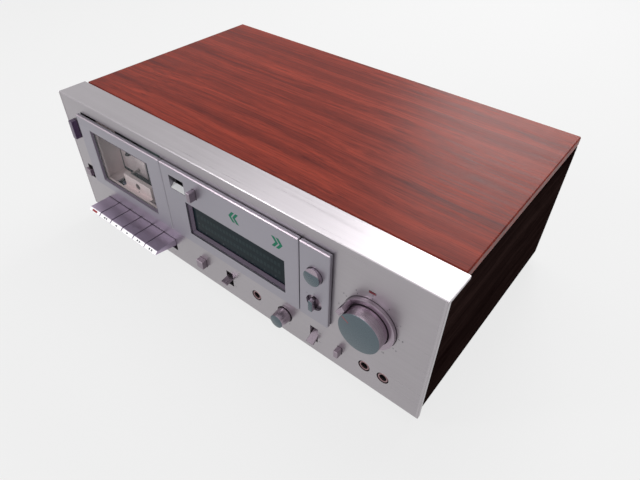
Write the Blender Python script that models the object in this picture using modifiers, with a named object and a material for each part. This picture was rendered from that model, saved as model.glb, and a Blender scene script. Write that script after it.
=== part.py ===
"""A front-loading cassette deck: an aluminium front panel with a top lip, a wood-covered
cabinet, six piano keys, a tip-out cassette door and the tape drive behind it.

Lengths are metres, +Z up. Places on the deck are given as x from the left end of the
front panel, y behind its face and z above its lower edge; at() turns them into the
model's own frame, whose origin is the middle of the bounding box on the ground.
"""
import math

import bmesh
import bpy
from mathutils import Matrix, Vector

# Fits and small allowances
SEAT = 0.0003
RUN = 0.0004
OVERRUN = 0.001
MERGE = 0.00001

# Front panel, measured from its left end, its face and its lower edge
PANEL_WIDTH = 0.440
PANEL_HEIGHT = 0.140
PANEL_WALL = 0.004
LIP_DEPTH = 0.0305
LIP_WALL = 0.0035
EDGE_SOFT = 0.0006

# Cabinet
CABINET_DEPTH = 0.2565
CABINET_INSET = 0.003
BOARD = 0.009
SIDE_DROP = 0.0028
BOARD_SOFT = 0.001
SHEET = 0.0015
REAR_RECESS = 0.008
FOOT_HEIGHT = 0.012
FOOT_TOP_RADIUS = 0.014
FOOT_BASE_RADIUS = 0.0125
FOOT_INSET_X = 0.040
FOOT_INSET_Y = 0.032
FOOT_SOFT = 0.001

# Raised block on the panel: door, meter panel and knob panel side by side
BLOCK_LEFT = 0.0305
BLOCK_TO_RIGHT_END = 0.0894
BLOCK_BOTTOM = 0.047
BLOCK_TO_TOP = 0.0132
BLOCK_RISE = 0.0045
BLOCK_SOFT = 0.0007
DOOR_RIGHT = 0.1586
KNOB_PANEL_WIDTH = 0.030
BLOCK_GAP = 0.0008

# Cassette opening in the panel
OPENING_SIDE = 0.0025
OPENING_DROP = 0.0045
OPENING_RISE = 0.0015

# Door, its window and the cassette holder
WINDOW_WIDTH = 0.090
WINDOW_TO_TOP = 0.0113
WINDOW_BOTTOM = 0.0565
PANE = 0.0015
PANE_SET_BACK = 0.0013
CASSETTE_WIDTH = 0.1004
CASSETTE_TO_TOP = 0.0090
CASSETTE_PLAY = 0.0009
CASSETTE_BOTTOM = 0.054
HUB_SHARE = 0.54075
HUB_SPACING = 0.0425
HOLDER_WALL = 0.0017
HOLDER_FRAME = 0.0016
HOLDER_BOTTOM = 0.0500
HOLDER_LEDGE = 0.0143
HOLDER_BACK = 0.0242
HOLDER_BORDER = 0.001
PAD_WIDTH = 0.0434
PAD_HEIGHT = 0.025
PAD_FRONT = 0.006
PAD_THICKNESS = 0.004
PAD_BOTTOM = 0.045
PAD_BRIDGE = 0.006
PIVOT_Y = 0.006
PIVOT_Z = 0.0454
PIVOT_ARM = 0.0022
PIN_RADIUS = 0.0014
PIN_LENGTH = 0.0036
EAR_WALL = 0.002
EAR_FRONT = 0.0028
EAR_REACH = 0.0026

# Mechanism plate and what turns in it
PLATE_FRONT = 0.0265
PLATE_WALL = 0.002
PLATE_TO_TOP = 0.015
PLATE_SPREAD = 0.0010
SPINDLE_RADIUS = 0.0027
SPINDLE_TIP = 0.013
SPINDLE_NOSE = 0.0012
TABLE_RADIUS = 0.009
TABLE_THICKNESS = 0.002
SPINDLE_TAIL_RADIUS = 0.002
SPINDLE_TAIL = 0.003
CAPSTAN_RADIUS = 0.0012
CAPSTAN_TIP = 0.014
CAPSTAN_SPACING = 0.049
CAPSTAN_Z = 0.0625
FLYWHEEL_FRONT = 0.032
FLYWHEEL_WIDTH = 0.008
FLYWHEEL_TAIL = 0.003
FLYWHEEL_TAIL_RADIUS = 0.003
BELT_THICKNESS = 0.001
BELT_WIDTH = 0.005
PULLEY_RADIUS = 0.0055
PULLEY_SHAFT_RADIUS = 0.001
PULLEY_SHAFT = 0.004
MOTOR_SHARE = 0.68
MOTOR_SIZE_SHARE = 0.73
MOTOR_LENGTH = 0.028
MOTOR_GAP = 0.004
MOTOR_POST_RADIUS = 0.0022
MOTOR_POST_SHARE = 0.78
MOTOR_POST_RISE = 0.006
CARRIAGE_WIDTH = 0.069
CARRIAGE_HEIGHT = 0.008
CARRIAGE_FRONT = 0.012
CARRIAGE_STROKE = 0.008
ROLLER_RADIUS = 0.006
ROLLER_WIDTH = 0.008
ROLLER_BORE = 0.0018
ROLLER_AXLE = 0.0014
ROLLER_REST_GAP = 0.001
LUG_WIDTH = 0.007
LUG_WALL = 0.0022
HEAD_WIDTH = 0.013
HEAD_HEIGHT = 0.011
HEAD_FRONT = 0.0125
HEAD_BACK = 0.0215

# Piano keys
KEY_COUNT = 6
KEY_ROW_LEFT = 0.0377
KEY_PITCH = 0.0191
KEY_GAP = 0.0004
KEY_TOP = 0.0268
KEY_FRONT = 0.023
KEY_LIP = 0.0033
KEY_LIP_DROP = 0.0033
KEY_ROOT = 0.0077
KEY_ARM_TOP = 0.0235
KEY_SHAFT_Y = 0.014
KEY_SHAFT_Z = 0.0200
KEY_SHAFT_RADIUS = 0.0015
KEY_BOSS = 0.0032
KEY_SLOT_TOP = 0.0276
KEY_SLOT_BOTTOM = 0.0120

# Controls on the flat panel
POWER_LEFT = 0.0127
POWER_WIDTH = 0.006
POWER_BOTTOM = 0.094
POWER_HEIGHT = 0.020
POWER_REACH = 0.006
BUTTON_TAIL = 0.006
BUTTON_SOFT = 0.0004
TIMER_LEFT = 0.0125
TIMER_WIDTH = 0.0079
TIMER_BOTTOM = 0.0474
TIMER_HEIGHT = 0.008
TIMER_REACH = 0.004
TIMER_TRAVEL = 0.0036
SQUARE_SHARE = 0.1748
SQUARE_WIDTH = 0.0087
SQUARE_BOTTOM = 0.0165
SQUARE_HEIGHT = 0.0095
SQUARE_REACH = 0.0056
SMALL_SHARE = 0.8939
SMALL_WIDTH = 0.0044
SMALL_BOTTOM = 0.0188
SMALL_HEIGHT = 0.0080
SMALL_REACH = 0.0063
LEVER_WIDTH = 0.0077
LEVER_LENGTH = 0.0207
LEVER_THICKNESS = 0.0022
LEVER_BOSS = 0.0026
LEVER_PIVOT_Y = 0.012
LEVER_PIVOT_Z = 0.0251
LEVER_SLOT_WIDTH = 0.0085
LEVER_SLOT_BOTTOM = 0.0135
LEVER_SLOT_TOP = 0.0307
LEVER_A_SHARE = 0.3346
LEVER_A_REST = math.radians(9)
LEVER_B_SHARE = 0.7754
LEVER_B_REST = math.radians(28)

# Jacks
JACK_ROW_Z = 0.0230
HEADPHONE_SHARE = 0.4844
MIC_TO_RIGHT_END = 0.0540
MIC_SPACING = 0.0181
JACK_HOLE = 0.0057
JACK_BUSH = 0.0054
JACK_SET_BACK = 0.0012
JACK_BODY = 0.0070
JACK_LENGTH = 0.024
JACK_BORE = 0.00325
JACK_BORE_DEPTH = 0.021

# Output knob
OUTPUT_SHARE = 0.6320
OUTPUT_Z = 0.0229
OUTPUT_RECESS_RADIUS = 0.0086
OUTPUT_BASE_RADIUS = 0.0077
OUTPUT_FACE_RADIUS = 0.00675
OUTPUT_REACH = 0.0117
RECESS_DEPTH = 0.0022
KNOB_SOFT = 0.0005
SHAFT_RADIUS = 0.003
SHAFT_LENGTH = 0.014

# Level control: an outer ring with a finger lug round an inner knob
LEVEL_TO_RIGHT_END = 0.0538
LEVEL_Z = 0.0790
LEVEL_RECESS_RADIUS = 0.0241
RING_RADIUS = 0.0236
RING_INNER_RADIUS = 0.0190
RING_REACH = 0.0035
RING_WEB = 0.0014
RING_WEB_BACK = 0.0016
SLEEVE_RADIUS = 0.006
SLEEVE_LENGTH = 0.012
RING_LUG_WIDTH = 0.0095
RING_LUG_REACH = 0.014
RING_LUG_ANGLE = math.radians(149)
KNOB_RADIUS = 0.0184
KNOB_REACH = 0.015
KNOB_BACK = 0.0004

# Record lamp
LAMP_OFFSET = 0.0035
LAMP_WIDTH = 0.0058
LAMP_GAP = 0.0063
LAMP_HEIGHT = 0.0018
LAMP_REACH = 0.0003

# Round button and selector on the knob panel
ROUND_TO_BLOCK_END = 0.0139
ROUND_SHARE = 0.6541
ROUND_HOLE = 0.0081
ROUND_RADIUS = 0.0077
ROUND_REACH = 0.0087
ROUND_BACK = 0.0026
ROUND_FACET_CHORD = 0.0022
ROUND_FACET_DEPTH = 0.0030
SELECTOR_TO_BLOCK_END = 0.0140
SELECTOR_SHARE = 0.2682
SELECTOR_HOLE = 0.0079
SELECTOR_RADIUS = 0.0075
SELECTOR_FACE = 0.0020
SELECTOR_BAR_WIDTH = 0.0041
SELECTOR_BAR_LENGTH = 0.0110
SELECTOR_REACH = 0.0098
STEM_RADIUS = 0.0036
STEM_LENGTH = 0.008

# Counter and its reset button
COUNTER_TO_DOOR = 0.0116
COUNTER_WIDTH = 0.0194
COUNTER_TO_TOP = 0.0238
COUNTER_HEIGHT = 0.0141
COUNTER_DEPTH = 0.020
COUNTER_WALL = 0.0012
COUNTER_WINDOW_WIDTH = 0.0130
COUNTER_WINDOW_HEIGHT = 0.0070
WHEEL_COUNT = 3
WHEEL_RADIUS = 0.0050
WHEEL_WIDTH = 0.0040
WHEEL_PITCH = 0.0045
WHEEL_BORE = 0.0015
WHEEL_AXLE = 0.0012
WHEEL_AXIS_Y = 0.0075
RESET_TO_DOOR = 0.0424
RESET_WIDTH = 0.0042
RESET_TO_TOP = 0.0208
RESET_HEIGHT = 0.0099
RESET_REACH = 0.0115

# Level meter window
METER_TO_DOOR = 0.0294
METER_TO_KNOBS = 0.0146
METER_BOTTOM = 0.0585
METER_TO_COUNTER = 0.0077
BEZEL_SET_BACK = 0.0018
BEZEL_BORDER = 0.0035
METER_PORT_INSET = 0.0025
DISPLAY_DEPTH = 0.009

# Rear and inside
TRANSFORMER_TO_SIDE = 0.0227
TRANSFORMER_TO_REAR = 0.0335
TRANSFORMER_SIZE = (0.060, 0.050, 0.046)
COIL_INSET = 0.010
COIL_REACH = 0.010
BOARD_LEFT = 0.060
BOARD_FRONT = 0.105
BOARD_TO_TRANSFORMER = 0.035
BOARD_TO_REAR = 0.0185
BOARD_THICKNESS = 0.0016
STANDOFF_HEIGHT = 0.008
STANDOFF_RADIUS = 0.004
STANDOFF_INSET = 0.008
TERMINAL_LEFT = 0.085
TERMINAL_SIZE = (0.044, 0.018, 0.036)
TERMINAL_BOTTOM = 0.030
TERMINAL_PLATE = 0.0010
SOCKET_RADIUS = 0.0042
SOCKET_BORE = 0.0022
SOCKET_DEPTH = 0.009
SOCKET_LENGTH = 0.0050
SOCKET_SPACING_X = 0.020
SOCKET_SPACING_Z = 0.016
GLAND_TO_SIDE = 0.0577
GLAND_Z = 0.030
GLAND_RADIUS = 0.0060
GLAND_FLANGE = 0.0085
GLAND_FLANGE_WALL = 0.0020
GLAND_BORE = 0.0033
GLAND_LENGTH = 0.009

# Facets
ROUND_SIDES = 32
SMALL_SIDES = 20

HALF_WIDTH = PANEL_WIDTH / 2
FACE_Y = -(CABINET_DEPTH - KEY_FRONT - KEY_LIP) / 2
SIDE_LEFT = CABINET_INSET
SIDE_RIGHT = PANEL_WIDTH - CABINET_INSET
CABINET_FRONT = LIP_DEPTH + SEAT
TOP_UNDERSIDE = PANEL_HEIGHT - BOARD
INNER_LEFT = SIDE_LEFT + BOARD + SEAT
INNER_RIGHT = SIDE_RIGHT - BOARD - SEAT
REAR_FACE = CABINET_DEPTH - REAR_RECESS
DOOR_CENTRE = (BLOCK_LEFT + DOOR_RIGHT) / 2

# Across: the meter window takes the room between the door and the controls at the right end
BLOCK_RIGHT = PANEL_WIDTH - BLOCK_TO_RIGHT_END
METER_RIGHT = BLOCK_RIGHT - KNOB_PANEL_WIDTH
METER_LEFT = DOOR_RIGHT + METER_TO_DOOR
METER_WIDTH = METER_RIGHT - METER_TO_KNOBS - METER_LEFT
COUNTER_LEFT = DOOR_RIGHT + COUNTER_TO_DOOR
RESET_LEFT = DOOR_RIGHT + RESET_TO_DOOR
ROUND_X = BLOCK_RIGHT - ROUND_TO_BLOCK_END
SELECTOR_X = BLOCK_RIGHT - SELECTOR_TO_BLOCK_END
LEVEL_X = PANEL_WIDTH - LEVEL_TO_RIGHT_END
LAMP_LEFT = LEVEL_X - LAMP_OFFSET
MIC_LEFT_X = PANEL_WIDTH - MIC_TO_RIGHT_END
MIC_RIGHT_X = MIC_LEFT_X + MIC_SPACING
KEY_ROW_RIGHT = KEY_ROW_LEFT + KEY_COUNT * KEY_PITCH
ROW_ROOM = MIC_LEFT_X - KEY_ROW_RIGHT
SQUARE_LEFT = KEY_ROW_RIGHT + SQUARE_SHARE * ROW_ROOM - SQUARE_WIDTH / 2
LEVER_A_X = KEY_ROW_RIGHT + LEVER_A_SHARE * ROW_ROOM
HEADPHONE_X = KEY_ROW_RIGHT + HEADPHONE_SHARE * ROW_ROOM
OUTPUT_X = KEY_ROW_RIGHT + OUTPUT_SHARE * ROW_ROOM
LEVER_B_X = KEY_ROW_RIGHT + LEVER_B_SHARE * ROW_ROOM
SMALL_LEFT = KEY_ROW_RIGHT + SMALL_SHARE * ROW_ROOM - SMALL_WIDTH / 2

# Upwards: the cassette, its window and the meter take the room under the block's top
BLOCK_TOP = PANEL_HEIGHT - BLOCK_TO_TOP
BLOCK_HEIGHT = BLOCK_TOP - BLOCK_BOTTOM
WINDOW_HEIGHT = BLOCK_TOP - WINDOW_TO_TOP - WINDOW_BOTTOM
CASSETTE_HEIGHT = BLOCK_TOP - CASSETTE_TO_TOP - CASSETTE_BOTTOM
PLATE_TOP = PANEL_HEIGHT - PLATE_TO_TOP
COUNTER_BOTTOM = BLOCK_TOP - COUNTER_TO_TOP
RESET_BOTTOM = BLOCK_TOP - RESET_TO_TOP
METER_HEIGHT = COUNTER_BOTTOM - METER_TO_COUNTER - METER_BOTTOM
ROUND_Z = BLOCK_BOTTOM + ROUND_SHARE * BLOCK_HEIGHT
SELECTOR_Z = BLOCK_BOTTOM + SELECTOR_SHARE * BLOCK_HEIGHT
LAMP_BOTTOM = LEVEL_Z + LEVEL_RECESS_RADIUS + LAMP_GAP
HUB_Z = CASSETTE_BOTTOM + HUB_SHARE * CASSETTE_HEIGHT
MOTOR_Z = CAPSTAN_Z + MOTOR_SHARE * (TOP_UNDERSIDE - CAPSTAN_Z)
MOTOR_RADIUS = MOTOR_SIZE_SHARE * (TOP_UNDERSIDE - MOTOR_Z)
MOTOR_POST_SPREAD = MOTOR_POST_SHARE * MOTOR_RADIUS

# Inside: the transformer and the cord's gland keep to the rear right corner
TRANSFORMER_LEFT = INNER_RIGHT - TRANSFORMER_TO_SIDE - TRANSFORMER_SIZE[0]
TRANSFORMER_FRONT = REAR_FACE - TRANSFORMER_TO_REAR - TRANSFORMER_SIZE[1]
BOARD_SIZE = (TRANSFORMER_LEFT - BOARD_TO_TRANSFORMER - BOARD_LEFT,
              REAR_FACE - BOARD_TO_REAR - BOARD_FRONT, BOARD_THICKNESS)
GLAND_X = INNER_RIGHT - GLAND_TO_SIDE

# The cassette drive
HOLDER_HALF = CASSETTE_WIDTH / 2 + CASSETTE_PLAY + HOLDER_WALL
PLATE_BACK = PLATE_FRONT + PLATE_WALL
PLATE_LEFT = BLOCK_LEFT + OPENING_SIDE + PLATE_SPREAD
PLATE_RIGHT = DOOR_RIGHT - OPENING_SIDE - PLATE_SPREAD
FLYWHEEL_RADIUS = (CAPSTAN_SPACING - BELT_THICKNESS) / 2 - SEAT
PULLEY_X = DOOR_CENTRE - CAPSTAN_SPACING / 2 + FLYWHEEL_RADIUS - PULLEY_RADIUS
ROLLER_REST_Z = CAPSTAN_Z - CAPSTAN_RADIUS - ROLLER_RADIUS - CARRIAGE_STROKE - ROLLER_REST_GAP
CARRIAGE_TOP = ROLLER_REST_Z - ROLLER_RADIUS - SEAT


def at(x, y, z):
    """A place on the deck, in the model's own frame."""
    return Vector((x - HALF_WIDTH, y + FACE_Y, z + FOOT_HEIGHT))


MATERIALS = {
    "brushed_aluminium": ((0.60, 0.59, 0.61, 1), 0.34, 1.0),
    "satin_aluminium": ((0.42, 0.42, 0.46, 1), 0.38, 1.0),
    "control_metal": ((0.50, 0.50, 0.53, 1), 0.30, 1.0),
    "key_metal": ((0.46, 0.40, 0.50, 1), 0.36, 1.0),
    "wood_veneer": ((0.26, 0.06, 0.04, 1), 0.45, 0.0),
    "black_steel": ((0.03, 0.03, 0.03, 1), 0.50, 0.6),
    "plated_steel": ((0.58, 0.58, 0.56, 1), 0.35, 1.0),
    "black_plastic": ((0.02, 0.02, 0.022, 1), 0.45, 0.0),
    "cream_plastic": ((0.72, 0.66, 0.64, 1), 0.45, 0.0),
    "clear_window": ((0.75, 0.78, 0.80, 0.3), 0.05, 0.0),
    "meter_glass": ((0.02, 0.05, 0.06, 1), 0.08, 0.0),
    "lamp_red": ((0.35, 0.01, 0.02, 1), 0.20, 0.0),
    "rubber": ((0.015, 0.015, 0.015, 1), 0.80, 0.0),
    "circuit_board": ((0.10, 0.22, 0.08, 1), 0.55, 0.0),
    "transformer_core": ((0.10, 0.10, 0.11, 1), 0.55, 0.5),
    "brass": ((0.70, 0.52, 0.25, 1), 0.30, 1.0),
}


def clear_scene():
    for thing in list(bpy.data.objects):
        bpy.data.objects.remove(thing, do_unlink=True)


def new_collection(name):
    group = bpy.data.collections.new(name)
    bpy.context.scene.collection.children.link(group)
    return group


def finish_for(name, look):
    """A material of the sub-part's own, with the look's colour, roughness and metallic."""
    colour, roughness, metallic = MATERIALS[look]
    material = bpy.data.materials.new(name + "_" + look)
    material.use_nodes = True
    shader = material.node_tree.nodes["Principled BSDF"]
    shader.inputs["Base Color"].default_value = colour
    shader.inputs["Roughness"].default_value = roughness
    shader.inputs["Metallic"].default_value = metallic
    return material


def put(name, bm, origin, look=None):
    """Makes an object of the bmesh with its origin at the given place; no look makes a cutter."""
    bmesh.ops.translate(bm, verts=bm.verts, vec=-origin)
    bmesh.ops.recalc_face_normals(bm, faces=bm.faces)
    mesh = bpy.data.meshes.new(name)
    bm.to_mesh(mesh)
    bm.free()
    thing = bpy.data.objects.new(name, mesh)
    thing.location = origin
    if look is None:
        thing.hide_render = True
        thing.display_type = "WIRE"
        CUTTERS.objects.link(thing)
    else:
        mesh.materials.append(finish_for(name, look))
        DECK.objects.link(thing)
    return thing


def add_box(bm, low, high):
    size = high - low
    middle = (low + high) / 2
    placing = Matrix.Translation(middle) @ Matrix.Diagonal(size.to_4d())
    bmesh.ops.create_cube(bm, size=1, matrix=placing)


def add_rod(bm, start, end, radius, sides, end_radius=None):
    """A round bar, or a cone with end_radius, from start to end."""
    run = end - start
    turn = run.to_track_quat("Z", "Y").to_matrix().to_4x4()
    placing = Matrix.Translation((start + end) / 2) @ turn
    far = radius if end_radius is None else end_radius
    bmesh.ops.create_cone(bm, cap_ends=True, segments=sides, radius1=radius,
                          radius2=far, depth=run.length, matrix=placing)


def box(name, low, high, look, origin=None):
    bm = bmesh.new()
    add_box(bm, low, high)
    return put(name, bm, origin or (low + high) / 2, look)


def boxes(name, spans, look=None, origin=None):
    bm = bmesh.new()
    for low, high in spans:
        add_box(bm, low, high)
    return put(name, bm, origin or (spans[0][0] + spans[0][1]) / 2, look)


def rods(name, runs, sides, look=None, origin=None):
    bm = bmesh.new()
    for start, end, radius in runs:
        add_rod(bm, start, end, radius, sides)
    return put(name, bm, origin or runs[0][0], look)


def combine(thing, tool, operation):
    step = thing.modifiers.new(operation.lower() + "_" + tool.name, "BOOLEAN")
    step.operation = operation
    step.object = tool
    step.solver = "EXACT"


def cut(thing, tool):
    combine(thing, tool, "DIFFERENCE")


def join(thing, tool):
    combine(thing, tool, "UNION")


def soften(thing, width, angle=math.radians(60)):
    step = thing.modifiers.new("soft_edges", "BEVEL")
    step.width = width
    step.segments = 1
    step.limit_method = "ANGLE"
    step.angle_limit = angle


def turned(name, outline, place, look, sides=ROUND_SIDES, closed=False):
    """Turns an outline of (radius, distance behind the face) about an axis along Y.

    The outline runs from the front of the piece round its outside to the back.
    """
    bm = bmesh.new()
    corners = [bm.verts.new((radius, 0, -behind)) for radius, behind in outline]
    following = corners[1:] + corners[:1] if closed else corners[1:]
    for first, second in zip(corners, following):
        bm.edges.new((first, second))
    mesh = bpy.data.meshes.new(name)
    bm.to_mesh(mesh)
    bm.free()
    thing = bpy.data.objects.new(name, mesh)
    thing.location = place
    thing.rotation_euler = (math.radians(90), 0, 0)
    mesh.materials.append(finish_for(name, look))
    DECK.objects.link(thing)
    spin = thing.modifiers.new("turn", "SCREW")
    spin.axis = "Z"
    spin.steps = sides
    spin.render_steps = sides
    spin.use_merge_vertices = True
    spin.merge_threshold = MERGE
    spin.use_smooth_shade = True
    return thing


def flat_outline(outlines, thickness):
    """A bmesh of a flat outline, with any further ones as holes, of the given thickness."""
    curve = bpy.data.curves.new("outline", "CURVE")
    curve.dimensions = "2D"
    curve.fill_mode = "BOTH"
    curve.extrude = thickness / 2
    for points in outlines:
        spline = curve.splines.new("POLY")
        spline.points.add(len(points) - 1)
        spline.use_cyclic_u = True
        for corner, (across, up) in zip(spline.points, points):
            corner.co = (across, up, 0, 1)
    drawn = bpy.data.objects.new("outline", curve)
    bpy.context.scene.collection.objects.link(drawn)
    graph = bpy.context.evaluated_depsgraph_get()
    mesh = bpy.data.meshes.new_from_object(drawn.evaluated_get(graph))
    bm = bmesh.new()
    bm.from_mesh(mesh)
    bmesh.ops.remove_doubles(bm, verts=bm.verts, dist=MERGE)
    bpy.data.objects.remove(drawn, do_unlink=True)
    bpy.data.meshes.remove(mesh)
    return bm


def side_profile(name, outlines, left, right, look, origin):
    """A piece with the same (behind, up) outline from its left to its right end."""
    bm = flat_outline(outlines, right - left)
    along_x = Matrix(((0, 0, 1, 0), (1, 0, 0, 0), (0, 1, 0, 0), (0, 0, 0, 1)))
    start = Matrix.Translation(at((left + right) / 2, 0, 0))
    bmesh.ops.transform(bm, matrix=start @ along_x, verts=bm.verts)
    return put(name, bm, origin, look)


def circle(centre_x, centre_y, radius, sides, start=0, end=2 * math.pi):
    """Points of a circle, or of an arc with both its ends."""
    whole = math.isclose(end - start, 2 * math.pi)
    steps = sides if whole else sides - 1
    turns = [start + (end - start) * step / steps for step in range(sides)]
    return [(centre_x + radius * math.cos(turn), centre_y + radius * math.sin(turn)) for turn in turns]


def span(left, front, bottom, width, depth, height):
    """Low and high corners of a box given by its left front lower corner and its size."""
    return at(left, front, bottom), at(left + width, front + depth, bottom + height)


def through_panel(left, bottom, width, height, play=0):
    """A box through the panel's wall, wider than the given face by the play all round."""
    return span(left - play, -OVERRUN, bottom - play,
                width + 2 * play, PANEL_WALL + 2 * OVERRUN, height + 2 * play)


def hole_run(x, z, radius, front, back):
    return at(x, front, z), at(x, back, z), radius


def front_panel():
    """The aluminium front with its top lip, pierced for the door, keys, meter and controls."""
    profile = [(0, 0), (PANEL_WALL, 0), (PANEL_WALL, PANEL_HEIGHT - LIP_WALL),
               (LIP_DEPTH, PANEL_HEIGHT - LIP_WALL), (LIP_DEPTH, PANEL_HEIGHT), (0, PANEL_HEIGHT)]
    panel = side_profile("front_panel", [profile], 0, PANEL_WIDTH, "brushed_aluminium",
                         at(HALF_WIDTH, 0, 0))
    soften(panel, EDGE_SOFT)
    opening_bottom = BLOCK_BOTTOM - OPENING_DROP
    slot_height = LEVER_SLOT_TOP - LEVER_SLOT_BOTTOM
    port = METER_PORT_INSET
    cut(panel, boxes("panel_windows", [
        through_panel(BLOCK_LEFT + OPENING_SIDE, opening_bottom,
                      DOOR_RIGHT - BLOCK_LEFT - 2 * OPENING_SIDE,
                      BLOCK_TOP + OPENING_RISE - opening_bottom),
        through_panel(KEY_ROW_LEFT, KEY_SLOT_BOTTOM, KEY_COUNT * KEY_PITCH,
                      KEY_SLOT_TOP - KEY_SLOT_BOTTOM),
        through_panel(METER_LEFT + port, METER_BOTTOM + port,
                      METER_WIDTH - 2 * port, METER_HEIGHT - 2 * port),
        through_panel(COUNTER_LEFT, COUNTER_BOTTOM, COUNTER_WIDTH, COUNTER_HEIGHT),
        through_panel(RESET_LEFT, RESET_BOTTOM, RESET_WIDTH, RESET_HEIGHT, RUN),
        through_panel(POWER_LEFT, POWER_BOTTOM, POWER_WIDTH, POWER_HEIGHT, RUN),
        through_panel(TIMER_LEFT - RUN, TIMER_BOTTOM - TIMER_TRAVEL - RUN, TIMER_WIDTH + 2 * RUN,
                      TIMER_HEIGHT + 2 * TIMER_TRAVEL + 2 * RUN),
        through_panel(SQUARE_LEFT, SQUARE_BOTTOM, SQUARE_WIDTH, SQUARE_HEIGHT, RUN),
        through_panel(SMALL_LEFT, SMALL_BOTTOM, SMALL_WIDTH, SMALL_HEIGHT, RUN),
        through_panel(LAMP_LEFT, LAMP_BOTTOM, LAMP_WIDTH, LAMP_HEIGHT, SEAT),
        through_panel(LEVER_A_X - LEVER_SLOT_WIDTH / 2, LEVER_SLOT_BOTTOM, LEVER_SLOT_WIDTH, slot_height),
        through_panel(LEVER_B_X - LEVER_SLOT_WIDTH / 2, LEVER_SLOT_BOTTOM, LEVER_SLOT_WIDTH, slot_height),
    ]))
    behind = PANEL_WALL + OVERRUN
    cut(panel, rods("panel_round_holes", [
        hole_run(HEADPHONE_X, JACK_ROW_Z, JACK_HOLE, -OVERRUN, behind),
        hole_run(MIC_LEFT_X, JACK_ROW_Z, JACK_HOLE, -OVERRUN, behind),
        hole_run(MIC_RIGHT_X, JACK_ROW_Z, JACK_HOLE, -OVERRUN, behind),
        hole_run(ROUND_X, ROUND_Z, STEM_RADIUS + RUN, -OVERRUN, behind),
        hole_run(SELECTOR_X, SELECTOR_Z, STEM_RADIUS + RUN, -OVERRUN, behind),
        hole_run(OUTPUT_X, OUTPUT_Z, SHAFT_RADIUS + RUN, -OVERRUN, behind),
        hole_run(LEVEL_X, LEVEL_Z, SLEEVE_RADIUS + RUN, -OVERRUN, behind),
    ], SMALL_SIDES))
    cut(panel, rods("panel_recesses", [
        hole_run(OUTPUT_X, OUTPUT_Z, OUTPUT_RECESS_RADIUS, -OVERRUN, RECESS_DEPTH),
        hole_run(LEVEL_X, LEVEL_Z, LEVEL_RECESS_RADIUS, -OVERRUN, RECESS_DEPTH),
    ], ROUND_SIDES))


def cabinet():
    """Three boards: the top lies over the two sides, which reach forward under the lip."""
    top = box("cabinet_top", at(SIDE_LEFT, CABINET_FRONT, TOP_UNDERSIDE),
              at(SIDE_RIGHT, CABINET_DEPTH, PANEL_HEIGHT), "wood_veneer")
    soften(top, BOARD_SOFT)
    under_lip = PANEL_HEIGHT - LIP_WALL - SEAT
    under_top = TOP_UNDERSIDE - SEAT
    behind_panel = PANEL_WALL + SEAT
    profile = [(behind_panel, -SIDE_DROP), (CABINET_DEPTH, -SIDE_DROP), (CABINET_DEPTH, under_top),
               (LIP_DEPTH, under_top), (LIP_DEPTH, under_lip), (behind_panel, under_lip)]
    for name, left in (("cabinet_left_side", SIDE_LEFT), ("cabinet_right_side", SIDE_RIGHT - BOARD)):
        side = side_profile(name, [profile], left, left + BOARD, "wood_veneer",
                            at(left + BOARD / 2, CABINET_DEPTH / 2, 0))
        soften(side, BOARD_SOFT)


def bottom_plate():
    """The steel bottom, with four posts that carry the circuit board."""
    plate = box("bottom_plate", at(INNER_LEFT, PANEL_WALL + SEAT, 0),
                at(INNER_RIGHT, REAR_FACE + SHEET, SHEET), "black_steel")
    board_width, board_depth, _ = BOARD_SIZE
    columns = (BOARD_LEFT + STANDOFF_INSET, BOARD_LEFT + board_width - STANDOFF_INSET)
    rows = (BOARD_FRONT + STANDOFF_INSET, BOARD_FRONT + board_depth - STANDOFF_INSET)
    posts = [(at(x, y, SHEET / 2), at(x, y, SHEET + STANDOFF_HEIGHT), STANDOFF_RADIUS)
             for x in columns for y in rows]
    join(plate, rods("board_posts", posts, SMALL_SIDES))


def rear_panel():
    """The steel back, with a cut-out for the terminal block and a hole for the cord's gland."""
    panel = box("rear_panel", at(INNER_LEFT, REAR_FACE, SHEET + SEAT),
                at(INNER_RIGHT, REAR_FACE + SHEET, TOP_UNDERSIDE - SEAT), "black_steel")
    width, _, height = TERMINAL_SIZE
    cut(panel, boxes("terminal_cut_out", [
        span(TERMINAL_LEFT - RUN, REAR_FACE - OVERRUN, TERMINAL_BOTTOM - RUN,
             width + 2 * RUN, SHEET + 2 * OVERRUN, height + 2 * RUN)]))
    cut(panel, rods("gland_hole", [
        hole_run(GLAND_X, GLAND_Z, GLAND_RADIUS + SEAT, REAR_FACE - OVERRUN, REAR_FACE + SHEET + OVERRUN)],
        SMALL_SIDES))


def feet():
    """Four tapered rubber feet under the corners."""
    number = 0
    for x in (FOOT_INSET_X, PANEL_WIDTH - FOOT_INSET_X):
        for y in (FOOT_INSET_Y, CABINET_DEPTH - FOOT_INSET_Y):
            number += 1
            bm = bmesh.new()
            add_rod(bm, at(x, y, -FOOT_HEIGHT), at(x, y, -SEAT), FOOT_BASE_RADIUS, SMALL_SIDES,
                    FOOT_TOP_RADIUS)
            foot = put(f"foot_{number}", bm, at(x, y, -SEAT), "rubber")
            soften(foot, FOOT_SOFT)


def block_piece(name, left, right):
    """One plate of the raised block."""
    plate = box(name, at(left, -BLOCK_RISE, BLOCK_BOTTOM), at(right, -SEAT, BLOCK_TOP), "satin_aluminium")
    soften(plate, BLOCK_SOFT)
    return plate


def through_block(left, bottom, width, height, play=0):
    return span(left - play, -BLOCK_RISE - OVERRUN, bottom - play,
                width + 2 * play, BLOCK_RISE + 2 * OVERRUN, height + 2 * play)


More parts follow.
